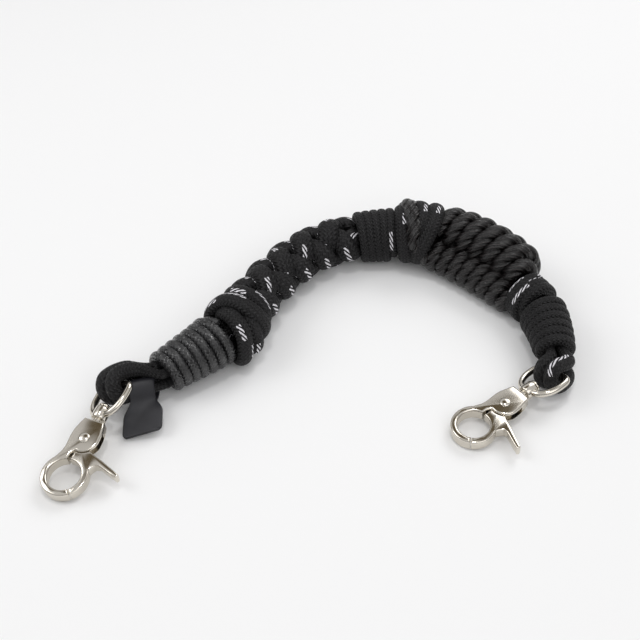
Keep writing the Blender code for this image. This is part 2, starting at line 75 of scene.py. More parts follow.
# ------------------------------------------------------------------------- arithmetic
def mix(low: Any, high: Any, share: Any) -> Any:
    """Straight blend of two values."""
    return low + (high - low) * share


def ease(share: Any) -> Array:
    """Smooth step from 0 to 1."""
    t = np.clip(share, 0.0, 1.0)
    return t * t * (3 - 2 * t)


def unit(vectors: Array) -> Array:
    """Vectors scaled to length one, along the last axis."""
    return vectors / np.linalg.norm(vectors, axis=-1, keepdims=True)


def lengths_along(path: Array) -> Array:
    """Distance of each point from the first one, along the path."""
    steps = np.linalg.norm(np.diff(path, axis=0), axis=1)
    return np.concatenate(([0.0], np.cumsum(steps)))


def catmull_rom(points: Array, per_span: int) -> Array:
    """Smooth curve through points.

    Each span is the cubic whose slope at a point is half the step between its
    neighbours; the two ends are continued straight.

    Args:
        points: (n, k) points to pass through.
        per_span: steps between neighbouring points.

    Returns:
        ((n - 1) * per_span + 1, k) points.
    """
    p = np.asarray(points, float)
    p = np.vstack((2 * p[0] - p[1], p, 2 * p[-1] - p[-2]))
    a, b, c, d = (p[k : len(p) - 3 + k][:, None, :] for k in range(4))
    t = (np.arange(per_span) / per_span)[None, :, None]
    spans = 0.5 * (2 * b + (c - a) * t + (2 * a - 5 * b + 4 * c - d) * t**2
                   + (3 * b - a - 3 * c + d) * t**3)
    return np.vstack((spans.reshape(-1, p.shape[1]), p[-2]))


def evenly(path: Array, step: float, *along: Array) -> tuple[Array, ...]:
    """The path, and any values along it, read again at even distances.

    Args:
        path: (n, 3) points.
        step: distance between the new points.
        along: arrays of n values that go with the points.

    Returns:
        The new points, then each array read at them.
    """
    at = lengths_along(path)
    new = np.linspace(0, at[-1], max(int(round(at[-1] / step)), 4) + 1)
    moved = np.stack([np.interp(new, at, path[:, k]) for k in range(3)], axis=1)
    return (moved, *(np.interp(new, at, values) for values in along))


# --------------------------------------------------------------------------- surfaces
@dataclass
class Patch:
    """One closed or open surface: a grid of points with its texture coordinates."""

    grid: Array                      # (rings, sides, 3), millimetres
    along: Array                     # (rings,) texture coordinate along, centimetres
    turn: Array | None = None        # (rings,) share of a turn added to the one around
    wrap: bool = True                # the last side joins the first
    poles: bool = True               # the first and last ring close to a point


def transport(path: Array) -> tuple[Array, Array, Array]:
    """Frames that follow a path without twisting about it.

    The side vector of each station is the one before it, made square to the new
    direction.

    Returns:
        Direction, side and the vector square to both, each (n, 3).
    """
    along = unit(np.gradient(path, axis=0))
    side = np.empty_like(path)
    first = np.cross(along[0], (0.0, 0.0, 1.0))
    if np.linalg.norm(first) < 0.1:
        first = np.cross(along[0], (0.0, 1.0, 0.0))
    side[0] = first / np.linalg.norm(first)
    for k in range(1, len(path)):
        turned = side[k - 1] - along[k] * np.dot(side[k - 1], along[k])
        side[k] = turned / np.linalg.norm(turned)
    return along, side, np.cross(along, side)


def sweep(path: Array, thick: Any, wide: Any = None, outward: Array | None = None,
          sides: int = 22, square: float = 2.0) -> Patch:
    """A cord's skin: an ellipse carried along a path, closed by two rounded ends.

    A point is path + (side cos f + up sin f) r(f), where r(f) is the p-th root of
    1 / (|cos g / t|^p + |sin g / w|^p) and g is f counted from the outward direction, t
    and w being the half thickness along that direction and the half width across it.

    Args:
        path: (n, 3) centre line.
        thick: half thickness, one number or n of them.
        wide: half width; the same as thick when left out.
        outward: (n, 3) directions in which thick is measured.
        sides: points round the cord.
        square: the exponent p; 2 gives an ellipse and more a section pressed flat.

    Returns:
        The skin; its texture is 0 round the cord in the outward direction.
    """
    n = len(path)
    t = np.broadcast_to(np.asarray(thick, float), (n,))[:, None]
    w = t if wide is None else np.broadcast_to(np.asarray(wide, float), (n,))[:, None]
    along, side, up = transport(path)
    f = (np.arange(sides) * 2 * math.pi / sides)[None, :]
    g = f
    if outward is not None:
        g = f - np.arctan2((outward * up).sum(1), (outward * side).sum(1))[:, None]
    r = (np.abs(np.cos(g) / t) ** square + np.abs(np.sin(g) / w) ** square) ** (-1 / square)
    grid = path[:, None, :] + (side[:, None, :] * np.cos(f)[..., None]
                               + up[:, None, :] * np.sin(f)[..., None]) * r[..., None]
    grid = rounded_ends(grid, path, along, np.minimum(t, w)[[0, -1], 0])
    at = np.pad(lengths_along(path), 3, mode="edge") / 10
    turn = -np.pad(facing(outward, along, side, up), 3, mode="edge") / (2 * math.pi)
    return Patch(grid, at, turn)


def facing(outward: Array | None, along: Array, side: Array, up: Array) -> Array:
    """Angle of the outward direction about a path, read across places where it is ahead."""
    if outward is None:
        return np.zeros(len(along))
    square_on = np.linalg.norm(np.cross(outward, along), axis=1) > 0.75
    angle = np.arctan2((outward * up).sum(1), (outward * side).sum(1))
    known = np.flatnonzero(square_on)
    return np.interp(np.arange(len(along)), known, np.unwrap(angle[known]))


def rounded_ends(grid: Array, path: Array, along: Array, depth: Array) -> Array:
    """Three more rings beyond each end, on a flattened dome of the given depth."""
    turn = np.radians((0.0, 35.0, 65.0))
    first = [path[0] + (grid[0] - path[0]) * math.sin(a)
             - along[0] * depth[0] * 0.6 * math.cos(a) for a in turn]
    last = [path[-1] + (grid[-1] - path[-1]) * math.sin(a)
            + along[-1] * depth[1] * 0.6 * math.cos(a) for a in turn[::-1]]
    return np.concatenate((np.array(first), grid, np.array(last)))


def lathe(profile: Array, sides: int = 40) -> Patch:
    """A turned solid about the second axis from (radius, place) points, ends on the axis."""
    f = (np.arange(sides) * 2 * math.pi / sides)[None, :]
    r, v = profile[:, :1], profile[:, 1:]
    grid = np.stack((r * np.cos(f), v + 0 * f, r * np.sin(f)), axis=2)
    return Patch(grid[:, ::-1], lengths_along(np.c_[profile, 0 * r]) / 10)


def rounded_plate(outline: Array, low: float, high: float, edge: tuple[float, float]) -> Patch:
    """A flat plate over an outline, its rims turned over by a quarter circle.

    Rings of the outline are moved inwards by e (1 - sin a) and off the face by
    e (1 - cos a), a running from 0 on the face to a quarter turn on the wall. Each face
    is one many-sided face.

    Args:
        outline: (m, 2) points, anticlockwise.
        low: place of the lower face.
        high: place of the upper face.
        edge: radius of the lower and of the upper rim.

    Returns:
        The plate, with its rims.
    """
    ahead = unit(np.roll(outline, -1, axis=0) - outline)
    behind = np.roll(ahead, 1, axis=0)
    inward = np.stack((-(ahead + behind)[:, 1], (ahead + behind)[:, 0]), axis=1)
    inward = unit(inward) / np.sqrt(np.clip((1 + (ahead * behind).sum(1)) / 2, 0.3, 1))[:, None]
    rings = []
    for height, radius, way in ((low, edge[0], 1), (high, edge[1], -1)):
        a = np.radians((0.0, 25.0, 45.0, 65.0, 90.0)) if radius else np.array((math.pi / 2,))
        a = a if way == 1 else a[::-1]
        for angle in a:
            place = outline + inward * radius * (1 - math.sin(angle))
            level = height + way * radius * (1 - math.cos(angle))
            rings.append(np.c_[place, np.full(len(place), level)])
    grid = np.array(rings)
    return Patch(grid, np.zeros(len(grid)), poles=False)


def patch_arrays(patch: Patch) -> tuple[Array, list[tuple[int, ...]], list[float]]:
    """Vertices, faces and loop texture coordinates of one patch.

    The grid's cells become quads. A patch with poles closes each end by triangles to the
    middle of its end ring, and any other wrapped patch by one many-sided face.

    Args:
        patch: the surface.

    Returns:
        (n, 3) vertices in millimetres, the faces, and the flat list of coordinates.
    """
    grid, along = patch.grid, patch.along
    rings, sides = grid.shape[:2]
    v_at = np.arange(sides + 1) / sides
    if patch.poles:
        points = np.vstack((grid[0].mean(0), grid[1:-1].reshape(-1, 3), grid[-1].mean(0)))
        rings -= 2
        base, along_in = 1, along[1:-1]
    else:
        points, base, along_in = grid.reshape(-1, 3), 0, along
    span = sides if patch.wrap else sides - 1
    i, j = np.meshgrid(np.arange(rings - 1), np.arange(span), indexing="ij")
    k = (j + 1) % sides
    quads = base + np.stack((i * sides + j, i * sides + k,
                             (i + 1) * sides + k, (i + 1) * sides + j), axis=-1)
    u0, u1 = along_in[i], along_in[i + 1]
    turn = np.zeros(len(grid)) if patch.turn is None else patch.turn
    turn = turn[1:-1] if patch.poles else turn
    uv = np.stack((np.stack((u0, v_at[j] + turn[i]), -1),
                   np.stack((u0, v_at[j + 1] + turn[i]), -1),
                   np.stack((u1, v_at[j + 1] + turn[i + 1]), -1),
                   np.stack((u1, v_at[j] + turn[i + 1]), -1)), axis=2)
    faces = [tuple(q) for q in quads.reshape(-1, 4).tolist()]
    coords = uv.reshape(-1).tolist()
    if patch.poles:
        last = len(points) - 1
        top = base + (rings - 1) * sides
        j = np.arange(sides)
        k = (j + 1) % sides
        caps = np.stack((0 * j, 1 + k, 1 + j, 0 * j + last, top + j, top + k), axis=1)
        faces += [tuple(face) for face in caps.reshape(-1, 3).tolist()]
        u = np.tile(np.repeat(along[[0, -1]], 3), (sides, 1))
        v = np.stack([v_at[j + ahead] for ahead in (0, 1, 0, 0, 0, 1)], axis=1)
        coords += np.stack((u, v), axis=-1).reshape(-1).tolist()
    elif patch.wrap:
        faces.append(tuple(range(sides - 1, -1, -1)))
        faces.append(tuple(range((rings - 1) * sides, rings * sides)))
        coords += [0.0, 0.0] * (2 * sides)
    return points, faces, coords


def make_piece(name: str, patches: list[Patch], finish: bpy.types.Material, body: str,
               stands_for: tuple[str, ...] = (), place: Array | None = None,
               sharp: float = 40.0) -> bpy.types.Object:
    """One object from its patches, riding on a body of the frame.

    Args:
        name: the piece's name.
        patches: its surfaces, in millimetres.
        finish: its material.
        body: the body it moves with.
        stands_for: nodes of the frame that it replaces.
        place: 4 x 4 matrix in millimetres that moves the patches to their place.
        sharp: edges that turn more than this many degrees stay sharp.

    Returns:
        The new object.
    """
    points, faces, coords, base = [], [], [], 0
    for patch in patches:
        p, f, c = patch_arrays(patch)
        points.append(p)
        faces += [tuple(index + base for index in face) for face in f]
        coords += c
        base += len(p)
    spots = np.vstack(points)
    if place is not None:
        spots = spots @ place[:3, :3].T + place[:3, 3]
    mesh = bpy.data.meshes.new(name)
    mesh.from_pydata((spots * MM).tolist(), [], faces)
    layer = mesh.uv_layers.new(name="lay")
    layer.data.foreach_set("uv", coords)
    mesh.shade_smooth()
    mesh.set_sharp_from_angle(angle=math.radians(sharp))
    mesh.materials.append(finish)
    obj = bpy.data.objects.new(name, mesh)
    bpy.context.scene.collection.objects.link(obj)
    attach(obj, body)
    if stands_for:
        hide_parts(*stands_for)
    LOG.info("%s: %d faces on %s", name, len(faces), body)
    return obj


# -------------------------------------------------------------------------- materials
def linear(colour: str) -> tuple[float, float, float, float]:
    """An sRGB hex colour as linear red, green, blue and full opacity."""
    parts = [int(colour[k : k + 2], 16) / 255 for k in (1, 3, 5)]
    red, green, blue = (c / 12.92 if c <= 0.04045 else ((c + 0.055) / 1.055) ** 2.4
                        for c in parts)
    return red, green, blue, 1.0


def dress(node: bpy.types.Node, inputs: dict[Any, Any]) -> None:
    """Set a node's inputs, each to a value or linked from a socket."""
    for key, value in inputs.items():
        if isinstance(value, bpy.types.NodeSocket):
            node.id_data.links.new(value, node.inputs[key])
        else:
            node.inputs[key].default_value = value


def add_node(tree: bpy.types.NodeTree, kind: str, settings: dict[str, Any] | None = None,
             links: dict[Any, Any] | None = None) -> bpy.types.Node:
    """Add a node with its settings and inputs.

    Args:
        tree: the node tree.
        kind: the node's type name.
        settings: attributes to set on it.
        links: input name or index to a value, or to a socket to link from.

    Returns:
        The new node.
    """
    node = tree.nodes.new(kind)
    for key, value in (settings or {}).items():
        setattr(node, key, value)
    dress(node, links or {})
    return node


def maths(tree: bpy.types.NodeTree, operation: str, *values: Any, clamp: bool = False) -> Any:
    """Add one arithmetic node.

    Args:
        tree: the node tree.
        operation: what the node works out, by its Blender name.
        values: its inputs in order, each a number or a socket.
        clamp: keep the result between 0 and 1.

    Returns:
        The node's output socket.
    """
    return add_node(tree, "ShaderNodeMath", {"operation": operation, "use_clamp": clamp},
                    dict(enumerate(values))).outputs[0]


def tinted(tree: bpy.types.NodeTree, share: Any, low: Any, high: Any) -> Any:
    """Output socket of a blend between two colours."""
    return add_node(tree, "ShaderNodeMix", {"data_type": "RGBA"},
                    {"Factor": share, "A": low, "B": high}).outputs["Result"]


def blank(name: str) -> tuple[bpy.types.Material, bpy.types.NodeTree, bpy.types.Node]:
    """A new material with one Principled shader."""
    material = bpy.data.materials.new(name)
    material.use_nodes = True
    return material, material.node_tree, material.node_tree.nodes["Principled BSDF"]


@dataclass(frozen=True)
class TracerLine:
    """One light yarn in a sheath, which shows as a dash wherever it comes up.

    around is where it lies round the cord at the start, climb how far it moves round in
    each centimetre, period and dash the spacing and length of its dashes in centimetres.
    """

    around: float
    climb: float = 0.0
    period: float = 1.4
    dash: float = 0.5
    start: float = 0.0
    half_width: float = 0.048
    fleck: float = 0.19             # centimetres from one slanted fleck to the next
    bare: tuple[float, float] = (0.0, 0.0)   # middle and half length of a stretch without it


@dataclass(frozen=True)
class BraidedSheath:
    """Round braided cord of matt synthetic yarn, black, with light tracer yarns.

    The picks of the braid make small slanted ribs that cross, which give a soft grainy
    black; a faint sheen is painted lighter onto the crests of the picks, broken into
    specks.
    """

    name: str = "braided_sheath"
    colour: str = "#070607"
    # This colour is a painted sheen: the lighter tone laid on the crests of the picks, in specks.
    mottle_and_sheen: str = "#2a292b"
    tracer: str = "#f2f0f5"
    roughness: float = 0.6
    pick: float = 0.13               # centimetres along for one pick, coarse enough to show
    ends: int = 11                   # picks round the cord
    fleck_slant: float = 13.0        # flecks that one turn round the cord crosses
    relief: float = 0.0004
    tracers: tuple[TracerLine, ...] = ()

    def make(self) -> bpy.types.Material:
        """Build the material."""
        material, tree, shader = blank(self.name)
        lay = add_node(tree, "ShaderNodeUVMap", {"uv_map": "lay"})
        parts = add_node(tree, "ShaderNodeSeparateXYZ", links={0: lay.outputs[0]})
        along, around = parts.outputs[0], parts.outputs[1]
        height = self.picks(tree, along, around)
        place = add_node(tree, "ShaderNodeTexCoord")
        # Painted sheen: the crests of the picks are tinted lighter, broken into specks by a noise.
        sheen_specks = add_node(tree, "ShaderNodeTexNoise", links={
            "Vector": place.outputs["Object"], "Scale": 420.0, "Detail": 3.0})
        painted_sheen = maths(tree, "MULTIPLY", height, sheen_specks.outputs["Fac"], clamp=True)
        skin = tinted(tree, painted_sheen, linear(self.colour), linear(self.mottle_and_sheen))
        for line in self.tracers:
            skin = tinted(tree, self.dashes(tree, line, along, around), skin,
                          linear(self.tracer))
        bump = add_node(tree, "ShaderNodeBump", links={
            "Strength": 0.9, "Distance": self.relief, "Height": height})
        dress(shader, {"Base Color": skin, "Normal": bump.outputs[0],
                       "Roughness": self.roughness, "Specular IOR Level": 0.35})
        return material

    def picks(self, tree: bpy.types.NodeTree, along: Any, around: Any) -> Any:
        """Height of the braid: two sets of slanted ribs, either one on top in turn.

        The ribs run along a = u / p + v n and b = u / p - v n. Where floor a + floor b is
        even the first set shows, and elsewhere the second; a rib is a half wave across.
        """
        scaled = maths(tree, "MULTIPLY", along, 1 / self.pick)
        waves, floors = [], []
        for way in (self.ends, -self.ends):
            line = maths(tree, "MULTIPLY_ADD", around, float(way), scaled)
            waves.append(maths(tree, "MULTIPLY", maths(tree, "PINGPONG", line, 0.5), 2.0))
            floors.append(maths(tree, "FLOOR", line))
        odd = maths(tree, "PINGPONG", maths(tree, "ADD", *floors), 1.0)
        top = add_node(tree, "ShaderNodeMix", {"data_type": "FLOAT"},
                       {"Factor": odd, "A": waves[0], "B": waves[1]})
        return top.outputs["Result"]

    def dashes(self, tree: bpy.types.NodeTree, line: TracerLine, along: Any, around: Any) -> Any:
        """Mask of one tracer yarn: near its line, within a dash, and cut into flecks."""
        moved = maths(tree, "MULTIPLY_ADD", along, -line.climb, around)
        away = maths(tree, "PINGPONG", maths(tree, "SUBTRACT", moved, line.around), 0.5)
        near = maths(tree, "LESS_THAN", away, line.half_width)
        run = maths(tree, "FLOORED_MODULO", maths(tree, "SUBTRACT", along, line.start),
                    line.period)
        mask = maths(tree, "MULTIPLY", near, maths(tree, "LESS_THAN", run, line.dash))
        hidden = maths(tree, "COMPARE", along, *line.bare)
        shown = maths(tree, "GREATER_THAN", mask, hidden)
        slope = maths(tree, "MULTIPLY_ADD", around, self.fleck_slant,
                      maths(tree, "MULTIPLY", along, 1 / line.fleck))
        lit = maths(tree, "LESS_THAN", maths(tree, "FRACT", slope), 0.5)
        return maths(tree, "MULTIPLY", shown, lit)


@dataclass(frozen=True)
class WaxedSheath(BraidedSheath):
    """The same braided cord dressed with wax, which dries in patches.

    The wax fills the picks here and there, so the cord is grey black with small bright
    glints where it is thick.
    """

    name: str = "waxed_sheath"
    colour: str = "#060608"
    # Painted sheen on the crests of the picks, as in the plain sheath.
    mottle_and_sheen: str = "#1f1e21"
    roughness: float = 0.5
    relief: float = 0.00016

    def make(self) -> bpy.types.Material:
        """Build the sheath, then let its roughness follow the wax."""
        material = super().make()
        tree = material.node_tree
        shader = tree.nodes["Principled BSDF"]
        place = add_node(tree, "ShaderNodeTexCoord")
        patches = add_node(tree, "ShaderNodeTexNoise", links={
            "Vector": place.outputs["Object"], "Scale": 480.0, "Detail": 3.0})
        gloss = add_node(tree, "ShaderNodeMapRange", links={
            "Value": patches.outputs["Fac"], "From Min": 0.46, "From Max": 0.58,
            "To Min": 0.5, "To Max": 0.13})
        dress(shader, {"Roughness": gloss.outputs[0], "Specular IOR Level": 0.75,
                       "Coat Weight": 0.2, "Coat Roughness": 0.1})
        return material


@dataclass(frozen=True)
class SatinPly:
    """One ply of satin twisted cord: a bundle of straight bright filaments.

    The filaments lie along the ply; the silky line of light across each turn and the fine
    streaks along them are painted highlights in the colour.
    """

    name: str = "satin_ply"
    colour: str = "#020101"
    # bright is the colour of the painted highlight lines on the filament groups; narrow sets how thin
    # they are.
    bright: str = "#2a2525"
    roughness: float = 0.22
    streaks: float = 8.0             # filament groups round one ply, wide enough to show
    narrow: float = 2.5              # how narrow the bright line on each group is
    relief: float = 0.0002

    def make(self) -> bpy.types.Material:
        """Build the material."""
        material, tree, shader = blank(self.name)
        lay = add_node(tree, "ShaderNodeUVMap", {"uv_map": "lay"})
        drawn = add_node(tree, "ShaderNodeMapping", links={
            "Vector": lay.outputs[0], "Scale": (1.3, self.streaks, 1.0)})
        streak = add_node(tree, "ShaderNodeTexNoise", {"noise_dimensions": "2D"}, {
            "Vector": drawn.outputs[0], "Scale": 3.0, "Detail": 3.0})
        parts = add_node(tree, "ShaderNodeSeparateXYZ", links={0: lay.outputs[0]})
        lines = maths(tree, "MULTIPLY_ADD", parts.outputs[1], self.streaks,
                      streak.outputs["Fac"])
        height = maths(tree, "MULTIPLY", maths(tree, "PINGPONG", lines, 0.5), 2.0)
        # Painted highlight: a brighter line on each filament group, mixed into the colour.
        painted_highlight = maths(tree, "POWER", height, self.narrow)
        bump = add_node(tree, "ShaderNodeBump", links={
            "Strength": 0.9, "Distance": self.relief, "Height": height})
        dress(shader, {"Base Color": tinted(tree, painted_highlight, linear(self.colour),
                                            linear(self.bright)),
                       "Normal": bump.outputs[0], "Roughness": self.roughness,
                       "Specular IOR Level": 0.5})
        return material


@dataclass(frozen=True)
class SmoothLeather:
    """Vegetable tanned strap leather, dyed black: a fine pebbled grain, slightly waxy."""

    name: str = "smooth_leather"
    colour: str = "#17171b"
    mottle_and_sheen: str = "#25252b"
    roughness: float = 0.5

    def make(self) -> bpy.types.Material:
        """Build the material: grain cells about 0.5 mm across under a softer mottle."""
        material, tree, shader = blank(self.name)
        place = add_node(tree, "ShaderNodeTexCoord")
        grain = add_node(tree, "ShaderNodeTexVoronoi", {"feature": "DISTANCE_TO_EDGE"}, {
            "Vector": place.outputs["Object"], "Scale": 1900.0})
        flat = maths(tree, "MINIMUM", grain.outputs["Distance"], 0.12)
        mottle = add_node(tree, "ShaderNodeTexNoise", links={
            "Vector": place.outputs["Object"], "Scale": 260.0, "Detail": 4.0})
        bump = add_node(tree, "ShaderNodeBump", links={
            "Strength": 0.35, "Distance": 0.0002, "Height": flat})
        dress(shader, {"Base Color": tinted(tree, mottle.outputs["Fac"], linear(self.colour),
                                            linear(self.mottle_and_sheen)),
                       "Normal": bump.outputs[0], "Roughness": self.roughness})
        return material


@dataclass(frozen=True)
class PolishedNickel:
    """Zinc casting, barrel polished and nickel plated: warm white, bright, faintly wavy."""

    name: str = "polished_nickel"
    colour: str = "#d9d3c8"
    roughness: float = 0.13

    def make(self) -> bpy.types.Material:
        """Build the material: a slow ripple of the polish and a finer haze in the gloss."""
        material, tree, shader = blank(self.name)
        place = add_node(tree, "ShaderNodeTexCoord")
        ripple = add_node(tree, "ShaderNodeTexNoise", links={
            "Vector": place.outputs["Object"], "Scale": 300.0, "Detail": 2.0})
        haze = add_node(tree, "ShaderNodeMapRange", links={
            "Value": ripple.outputs["Fac"], "To Min": self.roughness - 0.05,
            "To Max": self.roughness + 0.07})
        bump = add_node(tree, "ShaderNodeBump", links={
            "Strength": 0.15, "Distance": 0.0001, "Height": ripple.outputs["Fac"]})
        dress(shader, {"Base Color": linear(self.colour), "Metallic": 1.0,
                       "Roughness": haze.outputs[0], "Normal": bump.outputs[0]})
        return material


@dataclass(frozen=True)
class SpringWire:
    """Hard drawn steel wire, oiled: grey, with a fine uneven gloss."""

    name: str = "spring_wire"
    colour: str = "#8d8d90"

    def make(self) -> bpy.types.Material:
        """Build the material."""
        material, tree, shader = blank(self.name)
        place = add_node(tree, "ShaderNodeTexCoord")
        lines = add_node(tree, "ShaderNodeTexNoise", links={
            "Vector": place.outputs["Object"], "Scale": 2500.0})
        haze = add_node(tree, "ShaderNodeMapRange", links={
            "Value": lines.outputs["Fac"], "To Min": 0.25, "To Max": 0.45})
        dress(shader, {"Base Color": linear(self.colour), "Metallic": 1.0,
                       "Roughness": haze.outputs[0]})
        return material


# ------------------------------------------------------------------------ centre line
@dataclass
class CentreLine:
    """The rope's centre line, read by the distance along it."""

    places: tuple[tuple[float, float, float], ...] = (
        (-59.5, -40.5, 8.0), (-48.0, -31.0, 9.2), (-38.0, -22.5, 10.3),
        (-30.5, -13.0, 11.0), (-23.8, 1.0, 10.3), (-15.8, 15.5, 9.4), (-5.8, 27.7, 9.2),
        (5.5, 35.0, 9.3), (16.5, 37.4, 9.9), (29.0, 37.8, 10.6), (40.0, 36.0, 11.1),
        (51.0, 30.0, 11.0), (62.0, 21.5, 10.6), (71.0, 11.5, 10.0), (77.2, 2.2, 9.3),
        (80.9, -6.5, 9.1), (82.4, -16.5, 9.0), (82.6, -25.0, 8.6), (82.0, -32.0, 7.8),
    )

    def __post_init__(self) -> None:
        """Lay the curve and its frames once."""
        self.curve = catmull_rom(np.array(self.places) - ORIGIN, 24)
        self.at = lengths_along(self.curve)
        wide = np.vstack((np.repeat(self.curve[:1], 3, 0), self.curve,
                          np.repeat(self.curve[-1:], 3, 0)))
        self.along = unit(wide[6:] - wide[:-6])
        self.front = unit(np.cross(self.along, (0.0, 0.0, 1.0)))
        self.up = np.cross(self.front, self.along)

    def read(self, s: Array, values: Array) -> Array:
        """Vectors read at stations s."""
        return np.stack([np.interp(s, self.at, values[:, k]) for k in range(3)], axis=-1)

    def outward(self, s: Array, angle: Array) -> Array:
        """Direction off the centre line; angle 0 is up and 90 degrees the front."""
        a = np.asarray(angle)[..., None]
        return unit(self.read(s, self.up) * np.cos(a) + self.read(s, self.front) * np.sin(a))

    def point(self, s: Array, angle: Array, radius: Any) -> Array:
        """Points off the centre line at stations s."""
        s = np.asarray(s, float)
        lift = np.broadcast_to(np.asarray(radius, float), s.shape)[..., None]
        return self.read(s, self.curve) + self.outward(s, angle) * lift


# ------------------------------------------------------------------- hooks: placement
@dataclass
class HookPlace:
    """Where a hook lies: its ring's centre, its direction and the turn of its eye."""

    side: Side
    ring: tuple[float, float, float]
    towards: tuple[float, float, float]
    eye_turn: float
    bar: float = 37.0                # ring centre to the eye's far bar

    def matrix(self) -> Array:
        """Hook axes: u to the lever side, v to the swivel, w up, in millimetres."""
        v = unit(np.array(self.towards))
        u = unit(np.cross(v, (0.0, 0.0, 1.0)))
        out = np.eye(4)
        out[:3, :3] = np.stack((u, v, np.cross(u, v)), axis=1)
        out[:3, 3] = np.array(self.ring) - ORIGIN
        return out

    def eye_matrix(self) -> Array:
        """The eye's axes: the hook's, turned about v."""
        a = math.radians(self.eye_turn)
        turn = np.eye(4)
        turn[:3, :3] = ((math.cos(a), 0, -math.sin(a)), (0, 1, 0), (math.sin(a), 0, math.cos(a)))
        return self.matrix() @ turn

    def bight(self, offset: float, radius: float = 4.1, steps: int = 8) -> Array:
        """Half turn of cord round the eye's bar, from above it to below it."""
        m = self.eye_matrix()
        a = (np.arange(steps + 1) * math.pi / steps)[:, None]
        centre = m[:3, 3] + m[:3, 1] * self.bar + m[:3, 0] * offset
        return centre + (m[:3, 2] * np.cos(a) - m[:3, 1] * np.sin(a)) * radius


HOOKS = {
    Side.LEFT: HookPlace(Side.LEFT, (-81.4, -77.6, 3.75), (0.351, 0.917, 0.186), 32.0),
    Side.RIGHT: HookPlace(Side.RIGHT, (51.4, -56.0, 3.05), (0.81, 0.577, 0.117), 18.0),
}


